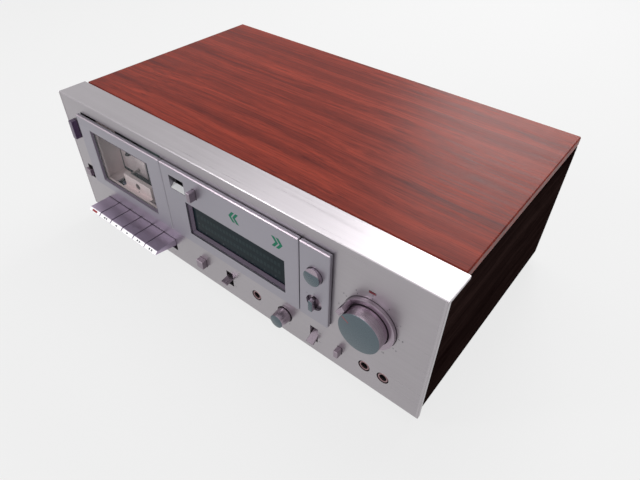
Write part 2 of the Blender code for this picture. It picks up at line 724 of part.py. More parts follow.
def meter_panel():
    panel = block_piece("meter_panel", DOOR_RIGHT + BLOCK_GAP, METER_RIGHT)
    cut(panel, boxes("meter_panel_windows", [
        through_block(METER_LEFT, METER_BOTTOM, METER_WIDTH, METER_HEIGHT),
        through_block(COUNTER_LEFT, COUNTER_BOTTOM, COUNTER_WIDTH, COUNTER_HEIGHT),
        through_block(RESET_LEFT, RESET_BOTTOM, RESET_WIDTH, RESET_HEIGHT, RUN)]))


def knob_panel():
    panel = block_piece("knob_panel", METER_RIGHT + BLOCK_GAP, BLOCK_RIGHT)
    cut(panel, rods("knob_panel_holes", [
        hole_run(ROUND_X, ROUND_Z, ROUND_HOLE, -BLOCK_RISE - OVERRUN, OVERRUN),
        hole_run(SELECTOR_X, SELECTOR_Z, SELECTOR_HOLE, -BLOCK_RISE - OVERRUN, OVERRUN)], ROUND_SIDES))


def meter():
    """The bezel in the meter window and the glass-fronted display module behind it."""
    front = BEZEL_SET_BACK - BLOCK_RISE
    bezel = boxes("meter_bezel", [
        span(METER_LEFT + SEAT, front, METER_BOTTOM + SEAT,
             METER_WIDTH - 2 * SEAT, -front - SEAT, METER_HEIGHT - 2 * SEAT)], "black_plastic")
    border = BEZEL_BORDER
    cut(bezel, boxes("bezel_opening", [
        span(METER_LEFT + border, front - OVERRUN, METER_BOTTOM + border,
             METER_WIDTH - 2 * border, 2 * OVERRUN - front, METER_HEIGHT - 2 * border)]))
    inset = METER_PORT_INSET + RUN
    boxes("meter_display", [
        span(METER_LEFT + inset, 0, METER_BOTTOM + inset,
             METER_WIDTH - 2 * inset, DISPLAY_DEPTH, METER_HEIGHT - 2 * inset)], "meter_glass")


def counter():
    """An open-backed housing in the panel, with three number wheels on one axle."""
    left = COUNTER_LEFT + RUN
    bottom = COUNTER_BOTTOM + RUN
    width = COUNTER_WIDTH - 2 * RUN
    height = COUNTER_HEIGHT - 2 * RUN
    centre_x = COUNTER_LEFT + COUNTER_WIDTH / 2
    centre_z = COUNTER_BOTTOM + COUNTER_HEIGHT / 2
    wall = COUNTER_WALL
    housing = boxes("counter_housing", [span(left, 0, bottom, width, COUNTER_DEPTH, height)],
                    "black_plastic")
    cut(housing, boxes("counter_hollow", [
        span(left + wall, wall, bottom + wall, width - 2 * wall, COUNTER_DEPTH, height - 2 * wall)]))
    cut(housing, boxes("counter_view", [
        span(centre_x - COUNTER_WINDOW_WIDTH / 2, -OVERRUN, centre_z - COUNTER_WINDOW_HEIGHT / 2,
             COUNTER_WINDOW_WIDTH, wall + 2 * OVERRUN, COUNTER_WINDOW_HEIGHT)]))
    join(housing, rods("counter_axle", [
        (at(left + wall / 2, WHEEL_AXIS_Y, centre_z), at(left + width - wall / 2, WHEEL_AXIS_Y, centre_z),
         WHEEL_AXLE)], SMALL_SIDES))
    for wheel in range(WHEEL_COUNT):
        x = centre_x + (wheel - (WHEEL_COUNT - 1) / 2) * WHEEL_PITCH
        outlines = [circle(WHEEL_AXIS_Y, centre_z, radius, SMALL_SIDES)
                    for radius in (WHEEL_RADIUS, WHEEL_BORE)]
        side_profile(f"counter_wheel_{wheel + 1}", outlines, x - WHEEL_WIDTH / 2, x + WHEEL_WIDTH / 2,
                     "black_plastic", at(x, WHEEL_AXIS_Y, centre_z))


def door():
    """The door frame, its clear window and the cassette holder behind it, on one low pivot."""
    pivot = at(DOOR_CENTRE, PIVOT_Y, PIVOT_Z)
    window_left = DOOR_CENTRE - WINDOW_WIDTH / 2
    frame = box("door_frame", at(BLOCK_LEFT, -BLOCK_RISE, BLOCK_BOTTOM), at(DOOR_RIGHT, -SEAT, BLOCK_TOP),
                "satin_aluminium", pivot)
    soften(frame, BLOCK_SOFT)
    cut(frame, boxes("door_opening", [
        through_block(window_left, WINDOW_BOTTOM, WINDOW_WIDTH, WINDOW_HEIGHT)]))
    boxes("door_window", [
        span(window_left + SEAT, PANE_SET_BACK - BLOCK_RISE, WINDOW_BOTTOM + SEAT,
             WINDOW_WIDTH - 2 * SEAT, PANE, WINDOW_HEIGHT - 2 * SEAT)], "clear_window", pivot)
    cassette_holder(pivot)


def cassette_holder(pivot):
    """A frame behind the door, side walls, two ledges under the cassette and a front pad."""
    left = DOOR_CENTRE - HOLDER_HALF
    right = DOOR_CENTRE + HOLDER_HALF
    top = CASSETTE_BOTTOM + CASSETTE_HEIGHT
    rise = top - HOLDER_BOTTOM
    wall = HOLDER_WALL
    border = HOLDER_BORDER
    holder = boxes("cassette_holder", [
        span(left, 0, HOLDER_BOTTOM, right - left, HOLDER_FRAME, rise)], "cream_plastic", pivot)
    cut(holder, boxes("holder_opening", [
        span(DOOR_CENTRE - WINDOW_WIDTH / 2 + border, -OVERRUN, WINDOW_BOTTOM + border,
             WINDOW_WIDTH - 2 * border, HOLDER_FRAME + 2 * OVERRUN, WINDOW_HEIGHT - 2 * border)]))
    join(holder, boxes("holder_walls", [
        span(left, HOLDER_FRAME / 2, HOLDER_BOTTOM, wall, HOLDER_BACK - HOLDER_FRAME / 2, rise),
        span(right - wall, HOLDER_FRAME / 2, HOLDER_BOTTOM, wall, HOLDER_BACK - HOLDER_FRAME / 2, rise),
        span(DOOR_CENTRE - PAD_WIDTH / 2, HOLDER_FRAME / 2, HOLDER_BOTTOM,
             PAD_WIDTH, PAD_FRONT, PAD_BRIDGE)]))
    ledge_bottom = CASSETTE_BOTTOM - SEAT - wall
    join(holder, boxes("holder_ledges", [
        span(left + wall / 2, HOLDER_FRAME / 2, ledge_bottom,
             HOLDER_LEDGE, HOLDER_BACK - HOLDER_FRAME / 2, wall),
        span(right - wall / 2 - HOLDER_LEDGE, HOLDER_FRAME / 2, ledge_bottom,
             HOLDER_LEDGE, HOLDER_BACK - HOLDER_FRAME / 2, wall),
        span(DOOR_CENTRE - PAD_WIDTH / 2, PAD_FRONT, PAD_BOTTOM, PAD_WIDTH, PAD_THICKNESS, PAD_HEIGHT)]))
    arm_front = PIVOT_Y - PIVOT_ARM
    join(holder, boxes("holder_arms", [
        span(side, arm_front, PIVOT_Z, wall, 2 * PIVOT_ARM, HOLDER_BOTTOM + wall - PIVOT_Z)
        for side in (left, right - wall)]))
    join(holder, rods("holder_bosses", [
        (at(side, PIVOT_Y, PIVOT_Z), at(side + wall, PIVOT_Y, PIVOT_Z), PIVOT_ARM)
        for side in (left, right - wall)], SMALL_SIDES))
    join(holder, rods("holder_pins", [
        (at(side - PIN_LENGTH * away, PIVOT_Y, PIVOT_Z), at(side + wall / 2 * away, PIVOT_Y, PIVOT_Z),
         PIN_RADIUS)
        for side, away in ((left, 1), (right, -1))], SMALL_SIDES))


def mechanism_plate():
    """The upright plate behind the door, with ears for the door's pins and for the key shaft."""
    plate = box("mechanism_plate", at(PLATE_LEFT, PLATE_FRONT, SHEET + SEAT),
                at(PLATE_RIGHT, PLATE_BACK, PLATE_TOP), "plated_steel")
    reach = PLATE_FRONT + PLATE_WALL / 2
    outward = HOLDER_HALF + 2 * RUN + EAR_WALL
    door_ears = [
        span(side, EAR_FRONT, PIVOT_Z - EAR_REACH, EAR_WALL, reach - EAR_FRONT, 2 * EAR_REACH)
        for side in (DOOR_CENTRE - outward, DOOR_CENTRE + outward - EAR_WALL)]
    key_ears = [
        span(side, KEY_SHAFT_Y - KEY_BOSS, KEY_SHAFT_Z - KEY_BOSS,
             EAR_WALL, reach - KEY_SHAFT_Y + KEY_BOSS, 2 * KEY_BOSS)
        for side in (PLATE_LEFT, PLATE_RIGHT - EAR_WALL)]
    join(plate, boxes("plate_ears", door_ears + key_ears))
    holes = [hole_run(DOOR_CENTRE + side * HUB_SPACING / 2, HUB_Z, SPINDLE_TAIL_RADIUS + SEAT,
                      PLATE_FRONT - OVERRUN, PLATE_BACK + OVERRUN) for side in (-1, 1)]
    holes += [hole_run(DOOR_CENTRE + side * CAPSTAN_SPACING / 2, CAPSTAN_Z, CAPSTAN_RADIUS + SEAT,
                       PLATE_FRONT - OVERRUN, PLATE_BACK + OVERRUN) for side in (-1, 1)]
    holes.append((at(PLATE_LEFT - OVERRUN, PIVOT_Y, PIVOT_Z), at(PLATE_RIGHT + OVERRUN, PIVOT_Y, PIVOT_Z),
                  PIN_RADIUS + SEAT))
    holes.append((at(PLATE_LEFT - OVERRUN, KEY_SHAFT_Y, KEY_SHAFT_Z),
                  at(PLATE_RIGHT + OVERRUN, KEY_SHAFT_Y, KEY_SHAFT_Z), KEY_SHAFT_RADIUS + SEAT))
    cut(plate, rods("plate_holes", holes, SMALL_SIDES))


def reels_and_capstans():
    """Two reel spindles, and two capstans whose flywheels run behind the plate."""
    table_back = PLATE_FRONT - SEAT
    table_front = table_back - TABLE_THICKNESS
    nose = SPINDLE_TIP + SPINDLE_NOSE
    spindle = [(0, SPINDLE_TIP), (SPINDLE_RADIUS - SPINDLE_NOSE, SPINDLE_TIP), (SPINDLE_RADIUS, nose),
               (SPINDLE_RADIUS, table_front), (TABLE_RADIUS, table_front), (TABLE_RADIUS, table_back),
               (SPINDLE_TAIL_RADIUS, table_back), (SPINDLE_TAIL_RADIUS, PLATE_BACK + SPINDLE_TAIL),
               (0, PLATE_BACK + SPINDLE_TAIL)]
    back = FLYWHEEL_FRONT + FLYWHEEL_WIDTH
    capstan = [(0, CAPSTAN_TIP), (CAPSTAN_RADIUS, CAPSTAN_TIP), (CAPSTAN_RADIUS, FLYWHEEL_FRONT),
               (FLYWHEEL_RADIUS, FLYWHEEL_FRONT), (FLYWHEEL_RADIUS, back),
               (FLYWHEEL_TAIL_RADIUS, back), (FLYWHEEL_TAIL_RADIUS, back + FLYWHEEL_TAIL),
               (0, back + FLYWHEEL_TAIL)]
    for hand, side in (("left", -1), ("right", 1)):
        turned(f"reel_spindle_{hand}", spindle, at(DOOR_CENTRE + side * HUB_SPACING / 2, 0, HUB_Z),
               "black_plastic", SMALL_SIDES)
        turned(f"capstan_{hand}", capstan, at(DOOR_CENTRE + side * CAPSTAN_SPACING / 2, 0, CAPSTAN_Z),
               "plated_steel")


def motor_and_belt():
    """The motor on two posts, its pulley, and the flat belt round the pulley and left flywheel."""
    front = FLYWHEEL_FRONT + FLYWHEEL_WIDTH + MOTOR_GAP
    bore = PULLEY_SHAFT_RADIUS + SEAT
    motor = turned("drive_motor", [
        (0, front + PULLEY_SHAFT), (bore, front + PULLEY_SHAFT), (bore, front), (MOTOR_RADIUS, front),
        (MOTOR_RADIUS, front + MOTOR_LENGTH), (0, front + MOTOR_LENGTH)],
        at(PULLEY_X, 0, MOTOR_Z), "plated_steel")
    join(motor, rods("motor_posts", [
        (at(PULLEY_X + side * MOTOR_POST_SPREAD, PLATE_BACK + SEAT, MOTOR_Z + MOTOR_POST_RISE),
         at(PULLEY_X + side * MOTOR_POST_SPREAD, front + OVERRUN, MOTOR_Z + MOTOR_POST_RISE),
         MOTOR_POST_RADIUS) for side in (-1, 1)], SMALL_SIDES))
    turned("motor_pulley", [
        (0, FLYWHEEL_FRONT), (PULLEY_RADIUS, FLYWHEEL_FRONT), (PULLEY_RADIUS, front - MOTOR_GAP),
        (PULLEY_SHAFT_RADIUS, front - MOTOR_GAP),
        (PULLEY_SHAFT_RADIUS, front + PULLEY_SHAFT - SEAT), (0, front + PULLEY_SHAFT - SEAT)],
        at(PULLEY_X, 0, MOTOR_Z), "brass", SMALL_SIDES)
    wheel_x = DOOR_CENTRE - CAPSTAN_SPACING / 2
    apart = math.hypot(PULLEY_X - wheel_x, MOTOR_Z - CAPSTAN_Z)
    bearing = math.atan2(MOTOR_Z - CAPSTAN_Z, PULLEY_X - wheel_x)
    lean = math.acos((FLYWHEEL_RADIUS - PULLEY_RADIUS) / apart)
    outlines = []
    for clear in (SEAT + BELT_THICKNESS, SEAT):
        small = circle(PULLEY_X, MOTOR_Z, PULLEY_RADIUS + clear, SMALL_SIDES, bearing - lean, bearing + lean)
        large = circle(wheel_x, CAPSTAN_Z, FLYWHEEL_RADIUS + clear, ROUND_SIDES,
                       bearing + lean, bearing - lean + 2 * math.pi)
        outlines.append(small + large)
    bm = flat_outline(outlines, BELT_WIDTH)
    middle = FLYWHEEL_FRONT + FLYWHEEL_WIDTH / 2
    upright = Matrix.Translation(at(0, middle, 0)) @ Matrix.Rotation(math.radians(90), 4, "X")
    bmesh.ops.transform(bm, matrix=upright, verts=bm.verts)
    put("drive_belt", bm, at(DOOR_CENTRE, middle, CAPSTAN_Z), "rubber")


def head_carriage():
    """The sliding carriage with the tape head between two pinch rollers."""
    left = DOOR_CENTRE - CARRIAGE_WIDTH / 2
    back = PLATE_FRONT - SEAT
    base_bottom = CARRIAGE_TOP - CARRIAGE_HEIGHT
    carriage = boxes("head_carriage", [
        span(left, CARRIAGE_FRONT, base_bottom, CARRIAGE_WIDTH, back - CARRIAGE_FRONT, CARRIAGE_HEIGHT)],
        "plated_steel")
    roller_front = CARRIAGE_FRONT + SEAT
    lug_front = roller_front + ROLLER_WIDTH + SEAT
    axes = [DOOR_CENTRE + side * CAPSTAN_SPACING / 2 for side in (-1, 1)]
    join(carriage, boxes("roller_lugs", [
        span(x - LUG_WIDTH / 2, lug_front, CARRIAGE_TOP - OVERRUN, LUG_WIDTH, LUG_WALL,
             ROLLER_REST_Z - CARRIAGE_TOP + OVERRUN + ROLLER_AXLE + OVERRUN) for x in axes]))
    join(carriage, rods("roller_axles", [
        (at(x, roller_front, ROLLER_REST_Z), at(x, lug_front + LUG_WALL / 2, ROLLER_REST_Z), ROLLER_AXLE)
        for x in axes], SMALL_SIDES))
    for hand, x in zip(("left", "right"), axes):
        turned(f"pinch_roller_{hand}", [
            (ROLLER_BORE, 0), (ROLLER_RADIUS, 0), (ROLLER_RADIUS, ROLLER_WIDTH), (ROLLER_BORE, ROLLER_WIDTH)],
            at(x, roller_front, ROLLER_REST_Z), "rubber", SMALL_SIDES, closed=True)
    head = boxes("tape_head", [
        span(DOOR_CENTRE - HEAD_WIDTH / 2, HEAD_FRONT, CARRIAGE_TOP + SEAT,
             HEAD_WIDTH, HEAD_BACK - HEAD_FRONT, HEAD_HEIGHT)], "plated_steel")
    soften(head, CAPSTAN_RADIUS)


def keys():
    """Six wedge-shaped piano keys that rock on one shaft behind the panel."""
    tail = KEY_SHAFT_Y + KEY_BOSS
    profile = [(-KEY_FRONT, KEY_TOP), (-KEY_FRONT - KEY_LIP, KEY_TOP - KEY_LIP_DROP),
               (0, KEY_TOP - KEY_ROOT), (KEY_SHAFT_Y, KEY_SHAFT_Z - KEY_BOSS), (tail, KEY_SHAFT_Z - KEY_BOSS),
               (tail, KEY_SHAFT_Z + KEY_BOSS), (KEY_SHAFT_Y, KEY_SHAFT_Z + KEY_BOSS),
               (PANEL_WALL + RUN, KEY_ARM_TOP), (RUN, KEY_TOP)]
    bore = circle(KEY_SHAFT_Y, KEY_SHAFT_Z, KEY_SHAFT_RADIUS + SEAT, SMALL_SIDES)
    for number in range(KEY_COUNT):
        left = KEY_ROW_LEFT + number * KEY_PITCH + KEY_GAP / 2
        right = left + KEY_PITCH - KEY_GAP
        side_profile(f"key_{number + 1}", [profile, bore], left, right, "key_metal",
                     at((left + right) / 2, KEY_SHAFT_Y, KEY_SHAFT_Z))
    rods("key_shaft", [
        (at(PLATE_LEFT - EAR_WALL / 2, KEY_SHAFT_Y, KEY_SHAFT_Z),
         at(PLATE_RIGHT + EAR_WALL / 2, KEY_SHAFT_Y, KEY_SHAFT_Z), KEY_SHAFT_RADIUS)],
        SMALL_SIDES, "plated_steel")


def square_controls():
    """Push-buttons, the timer switch and the reset button: blocks that slide through the panel."""
    for name, left, bottom, width, height, reach, look in (
            ("power_button", POWER_LEFT, POWER_BOTTOM, POWER_WIDTH, POWER_HEIGHT, POWER_REACH,
             "black_plastic"),
            ("timer_switch", TIMER_LEFT, TIMER_BOTTOM, TIMER_WIDTH, TIMER_HEIGHT, TIMER_REACH,
             "control_metal"),
            ("square_button", SQUARE_LEFT, SQUARE_BOTTOM, SQUARE_WIDTH, SQUARE_HEIGHT, SQUARE_REACH,
             "control_metal"),
            ("small_button", SMALL_LEFT, SMALL_BOTTOM, SMALL_WIDTH, SMALL_HEIGHT, SMALL_REACH,
             "control_metal"),
            ("counter_reset_button", RESET_LEFT, RESET_BOTTOM, RESET_WIDTH, RESET_HEIGHT, RESET_REACH,
             "control_metal"),
            ("record_lamp", LAMP_LEFT, LAMP_BOTTOM, LAMP_WIDTH, LAMP_HEIGHT, LAMP_REACH, "lamp_red")):
        block = boxes(name, [span(left, -reach, bottom, width, reach + BUTTON_TAIL, height)], look)
        if name != "record_lamp":
            soften(block, BUTTON_SOFT)


def lever(name, x, rest):
    """A flat paddle on a boss behind the panel, tipped down by its rest angle."""
    pivot = at(x, LEVER_PIVOT_Y, LEVER_PIVOT_Z)
    bm = bmesh.new()
    add_box(bm, *span(x - LEVER_WIDTH / 2, LEVER_PIVOT_Y - LEVER_LENGTH, LEVER_PIVOT_Z - LEVER_THICKNESS / 2,
                      LEVER_WIDTH, LEVER_LENGTH, LEVER_THICKNESS))
    bmesh.ops.rotate(bm, verts=bm.verts, cent=pivot, matrix=Matrix.Rotation(rest, 3, "X"))
    paddle = put(name, bm, pivot, "control_metal")
    soften(paddle, BUTTON_SOFT)
    join(paddle, rods(name + "_boss", [
        (at(x - LEVER_WIDTH / 2, LEVER_PIVOT_Y, LEVER_PIVOT_Z),
         at(x + LEVER_WIDTH / 2, LEVER_PIVOT_Y, LEVER_PIVOT_Z), LEVER_BOSS)], SMALL_SIDES))


def jack(name, x):
    """A socket for a plug, set back in its hole, with its body behind the panel."""
    behind = PANEL_WALL + SEAT
    turned(name, [
        (0, JACK_BORE_DEPTH), (JACK_BORE, JACK_BORE_DEPTH), (JACK_BORE, JACK_SET_BACK),
        (JACK_BUSH, JACK_SET_BACK), (JACK_BUSH, behind), (JACK_BODY, behind),
        (JACK_BODY, JACK_LENGTH), (0, JACK_LENGTH)], at(x, 0, JACK_ROW_Z), "black_plastic", SMALL_SIDES)


def output_knob():
    base = RECESS_DEPTH - SEAT
    turned("output_knob", [
        (0, -OUTPUT_REACH), (OUTPUT_FACE_RADIUS - KNOB_SOFT, -OUTPUT_REACH),
        (OUTPUT_FACE_RADIUS, KNOB_SOFT - OUTPUT_REACH), (OUTPUT_BASE_RADIUS, base),
        (SHAFT_RADIUS, base), (SHAFT_RADIUS, SHAFT_LENGTH), (0, SHAFT_LENGTH)],
        at(OUTPUT_X, 0, OUTPUT_Z), "control_metal")


def level_control():
    """The outer ring on its sleeve, with a finger lug, and the knob whose shaft runs in it."""
    inside = SHAFT_RADIUS + SEAT
    web_front = RING_WEB_BACK - RING_WEB
    place = at(LEVEL_X, 0, LEVEL_Z)
    ring = turned("level_ring", [
        (RING_INNER_RADIUS, -RING_REACH), (RING_RADIUS - KNOB_SOFT, -RING_REACH),
        (RING_RADIUS, KNOB_SOFT - RING_REACH), (RING_RADIUS, RING_WEB_BACK),
        (SLEEVE_RADIUS, RING_WEB_BACK), (SLEEVE_RADIUS, SLEEVE_LENGTH), (inside, SLEEVE_LENGTH),
        (inside, web_front), (RING_INNER_RADIUS, web_front)], place, "control_metal", closed=True)
    bm = bmesh.new()
    add_box(bm, *span(LEVEL_X + RING_INNER_RADIUS + SEAT, -RING_LUG_REACH, LEVEL_Z - RING_LUG_WIDTH / 2,
                      RING_RADIUS - RING_INNER_RADIUS - 2 * SEAT, RING_LUG_REACH - RING_REACH + OVERRUN,
                      RING_LUG_WIDTH))
    bmesh.ops.rotate(bm, verts=bm.verts, cent=place, matrix=Matrix.Rotation(-RING_LUG_ANGLE, 3, "Y"))
    join(ring, put("ring_lug", bm, place))
    turned("level_knob", [
        (0, -KNOB_REACH), (KNOB_RADIUS - KNOB_SOFT, -KNOB_REACH), (KNOB_RADIUS, KNOB_SOFT - KNOB_REACH),
        (KNOB_RADIUS, -KNOB_BACK), (SHAFT_RADIUS, -KNOB_BACK), (SHAFT_RADIUS, SHAFT_LENGTH),
        (0, SHAFT_LENGTH)], place, "control_metal")


def round_button():
    """A round push-button whose upper face slopes back for the finger."""
    button = turned("round_button", [
        (0, -ROUND_REACH), (ROUND_RADIUS - BUTTON_SOFT, -ROUND_REACH),
        (ROUND_RADIUS, BUTTON_SOFT - ROUND_REACH), (ROUND_RADIUS, -ROUND_BACK), (STEM_RADIUS, -ROUND_BACK), (STEM_RADIUS, STEM_LENGTH),
        (0, STEM_LENGTH)], at(ROUND_X, 0, ROUND_Z), "control_metal")
    front = -ROUND_REACH - OVERRUN
    above = ROUND_Z + ROUND_RADIUS + OVERRUN
    wedge = [(front, ROUND_Z + ROUND_FACET_CHORD), (ROUND_FACET_DEPTH - ROUND_REACH, above), (front, above)]
    cut(button, side_profile("finger_facet", [wedge], ROUND_X - ROUND_RADIUS - OVERRUN,
                             ROUND_X + ROUND_RADIUS + OVERRUN, None, at(ROUND_X, 0, ROUND_Z)))


def selector_knob():
    """A disc set in a round well, with a bar across it for the fingers."""
    knob = turned("selector_knob", [
        (0, -SELECTOR_FACE), (SELECTOR_RADIUS, -SELECTOR_FACE), (SELECTOR_RADIUS, -RUN),
        (STEM_RADIUS, -RUN), (STEM_RADIUS, STEM_LENGTH), (0, STEM_LENGTH)],
        at(SELECTOR_X, 0, SELECTOR_Z), "control_metal")
    bar = boxes("selector_bar", [
        span(SELECTOR_X - SELECTOR_BAR_WIDTH / 2, -SELECTOR_REACH, SELECTOR_Z - SELECTOR_BAR_LENGTH / 2,
             SELECTOR_BAR_WIDTH, SELECTOR_REACH - SELECTOR_FACE / 2, SELECTOR_BAR_LENGTH)])
    join(knob, bar)


def inside_and_rear():
    """The transformer, the circuit board, the line sockets and the cord's gland."""
    left, front, (width, depth, height) = TRANSFORMER_LEFT, TRANSFORMER_FRONT, TRANSFORMER_SIZE
    floor = SHEET + SEAT
    core = boxes("transformer", [span(left, front, floor, width, depth, height)], "transformer_core")
    join(core, boxes("transformer_coil", [
        span(left + COIL_INSET, front - COIL_REACH, floor + COIL_INSET,
             width - 2 * COIL_INSET, depth + 2 * COIL_REACH, height - 2 * COIL_INSET)]))
    boxes("main_circuit_board", [
        span(BOARD_LEFT, BOARD_FRONT, SHEET + STANDOFF_HEIGHT + SEAT, *BOARD_SIZE)], "circuit_board")
    width, depth, height = TERMINAL_SIZE
    back = REAR_FACE + SHEET + TERMINAL_PLATE
    block = boxes("terminal_block", [
        span(TERMINAL_LEFT, back - depth, TERMINAL_BOTTOM, width, depth, height)], "black_plastic")
    centre_x = TERMINAL_LEFT + width / 2
    centre_z = TERMINAL_BOTTOM + height / 2
    places = [(centre_x + side * SOCKET_SPACING_X / 2, centre_z + row * SOCKET_SPACING_Z / 2)
              for side in (-1, 1) for row in (-1, 1)]
    tip = back + SOCKET_LENGTH
    join(block, rods("socket_barrels", [
        (at(x, back - OVERRUN, z), at(x, tip, z), SOCKET_RADIUS) for x, z in places], SMALL_SIDES))
    cut(block, rods("socket_bores", [
        (at(x, tip - SOCKET_DEPTH, z), at(x, tip + OVERRUN, z), SOCKET_BORE) for x, z in places],
        SMALL_SIDES))
    seat = REAR_FACE + SHEET + SEAT
    flange = seat + GLAND_FLANGE_WALL
    turned("cord_gland", [
        (GLAND_BORE, flange - GLAND_LENGTH), (GLAND_RADIUS, flange - GLAND_LENGTH), (GLAND_RADIUS, seat),
        (GLAND_FLANGE, seat), (GLAND_FLANGE, flange), (GLAND_BORE, flange)],
        at(GLAND_X, 0, GLAND_Z), "rubber", SMALL_SIDES, closed=True)


clear_scene()
DECK = new_collection("cassette_deck")
CUTTERS = new_collection("cutters")
front_panel()
cabinet()
bottom_plate()
rear_panel()
feet()
meter_panel()
knob_panel()
meter()
counter()
door()
mechanism_plate()
reels_and_capstans()
motor_and_belt()
head_carriage()
keys()
square_controls()
lever("lever_left", LEVER_A_X, LEVER_A_REST)
lever("lever_right", LEVER_B_X, LEVER_B_REST)
for jack_name, jack_x in (("headphone_jack", HEADPHONE_X), ("mic_jack_left", MIC_LEFT_X),
                          ("mic_jack_right", MIC_RIGHT_X)):
    jack(jack_name, jack_x)
output_knob()
level_control()
round_button()
selector_knob()
inside_and_rear()
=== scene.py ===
"""A front-loading cassette deck: its finishes, fine detail and a plain studio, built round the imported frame.

Places on the deck are millimetres: x from the left end of the front panel, y behind its
face and z above its lower edge. place() turns them into the frame's own metres.
"""
import math

import bmesh
import bpy
from bpy.props import FloatProperty, FloatVectorProperty, IntProperty, PointerProperty
from mathutils import Matrix, Vector


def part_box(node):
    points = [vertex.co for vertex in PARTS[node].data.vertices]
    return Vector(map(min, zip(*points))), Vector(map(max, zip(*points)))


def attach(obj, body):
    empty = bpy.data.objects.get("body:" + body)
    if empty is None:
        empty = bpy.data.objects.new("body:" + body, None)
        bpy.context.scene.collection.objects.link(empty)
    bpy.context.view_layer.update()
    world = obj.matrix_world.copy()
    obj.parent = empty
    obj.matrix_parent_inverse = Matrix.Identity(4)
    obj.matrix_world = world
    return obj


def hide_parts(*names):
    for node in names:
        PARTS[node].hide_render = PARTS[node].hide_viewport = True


bl_info = {
    "name": "Cassette deck",
    "version": (1, 0, 0),
    "blender": (4, 5, 0),
    "location": "View3D > Sidebar > Deck",
    "description": "Dresses a front-loading cassette deck and sets up its studio",
    "category": "Add Mesh",
}

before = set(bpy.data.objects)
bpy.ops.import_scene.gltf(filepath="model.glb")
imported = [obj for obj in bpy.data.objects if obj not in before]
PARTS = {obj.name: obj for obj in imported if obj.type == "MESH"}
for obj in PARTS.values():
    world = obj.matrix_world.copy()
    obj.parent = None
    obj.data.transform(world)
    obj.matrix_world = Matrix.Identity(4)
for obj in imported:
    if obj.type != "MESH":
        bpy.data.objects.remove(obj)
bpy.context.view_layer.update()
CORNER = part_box("front_panel")[0]
MM = 0.001
INK = 0.03

# Front faces of the turned controls, and the pad of the cassette holder, behind the panel's face
LEVEL_FRONT = -15
OUTPUT_FRONT = -11.7
SELECTOR_FRONT = -9.8
ROUND_FRONT = -8.7
PAD_FACE = 6.0

# Keys: the foot of the sloping front lip and the shaft that they turn on
LIP_FOOT_Y, LIP_FOOT_Z = -26.3, 23.5
SHAFT_Y, SHAFT_Z = 14, 20
SHAFT_HOLE = 1.8

# The photograph's view, in the deck's millimetres
CAMERA_SPOT = (507.3, -217.6, 379.6)
CAMERA_FORWARD = (-0.45811283, 0.5879551, -0.66666441)
CAMERA_RIGHT = (0.77921333, 0.62652543, 0.01710186)
LENS = 29.11


def place(x, y, z):
    """A place on the deck, in the frame's metres."""
    return CORNER + Vector((x, y, z)) * MM


def reach(name):
    """Low and high corners of a CAD node, in the deck's millimetres."""
    low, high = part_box(name)
    return (low - CORNER) / MM, (high - CORNER) / MM


def centre(name):
    """The middle of a CAD node's box, in the deck's millimetres."""
    low, high = reach(name)
    return (low + high) / 2


def colour_property(name, description, default):
    return FloatVectorProperty(name=name, description=description, default=default, subtype="COLOR",
                               size=3, min=0, max=1)


def length_property(name, description, default):
    return FloatProperty(name=name, description=description, default=default * MM, min=0,
                         subtype="DISTANCE", unit="LENGTH", precision=4)


class DeckFinishes(bpy.types.PropertyGroup):
    """Colours of the deck's finishes."""
    panel: colour_property("Panel", "Brushed aluminium of the front panel", (0.39, 0.365, 0.385))
    block: colour_property("Block", "Satin aluminium of the door, meter and knob plates",
                           (0.34, 0.325, 0.365))
    control: colour_property("Controls", "Turned aluminium of knobs and buttons", (0.35, 0.29, 0.34))
    # Knob faces: a dark teal tone standing for the dark surroundings that the faces mirror, a painted
    # reflection
    faces: colour_property("Knob faces", "Turned front faces of the knobs", (0.115, 0.145, 0.165))
    keys: colour_property("Keys", "Satin aluminium of the piano keys", (0.42, 0.35, 0.46))
    wood_dark: colour_property("Dark wood", "Dark lines of the veneer", (0.085, 0.005, 0.005))
    wood_light: colour_property("Light wood", "Light bands of the veneer", (0.37, 0.050, 0.028))
    arrows: colour_property("Arrows", "Ink of the direction arrows", (0.002, 0.175, 0.095))
    ink: colour_property("Print", "Ink of the dial marks", (0.035, 0.035, 0.045))


class DeckDetails(bpy.types.PropertyGroup):
    """Sizes of the fine detail."""
    soft_edge: length_property("Soft edge", "Rounding of turned and milled edges", 0.35)
    dial_marks: IntProperty(name="Dial marks", description="Marks round the level control", default=11,
                            min=2, max=40)
    dial_mark_radius: length_property("Dial mark radius", "Radius of the marks round the level control", 27.0)
    meter_bars: IntProperty(name="Meter bars", description="Bars along each row of the level meter",
                            default=24, min=2, max=80)
    key_gap: length_property("Key gap", "Room that each key leaves at both its ends", 0.35)
    spindle_ribs: IntProperty(name="Spindle ribs", description="Driving ribs round a reel spindle",
                              default=6, min=3, max=12)


class DeckStudio(bpy.types.PropertyGroup):
    """Light and backdrop."""
    backdrop: colour_property("Backdrop", "Colour behind the deck", (0.895, 0.895, 0.895))
    key_power: FloatProperty(name="Key light", description="Power of the large overhead light", default=9.0,
                             min=0, subtype="POWER", unit="POWER")
    fill: FloatProperty(name="Fill", description="Strength of the even light all round", default=0.24, min=0)


# Meshes

def add_block(bm, low, high):
    """A block between two corners in the deck's millimetres."""
    first, last = place(*low), place(*high)
    placing = Matrix.Translation((first + last) / 2) @ Matrix.Diagonal((last - first).to_4d())
    return bmesh.ops.create_cube(bm, size=1, matrix=placing)["verts"]


def soften(bm, width, segments=2, angle=35):
    """Rounds every edge that turns by more than the angle."""
    edges = [e for e in bm.edges if len(e.link_faces) == 2 and e.calc_face_angle() > math.radians(angle)]
    bmesh.ops.bevel(bm, geom=edges, offset=width, segments=segments, profile=0.5, affect="EDGES",
                    clamp_overlap=True)


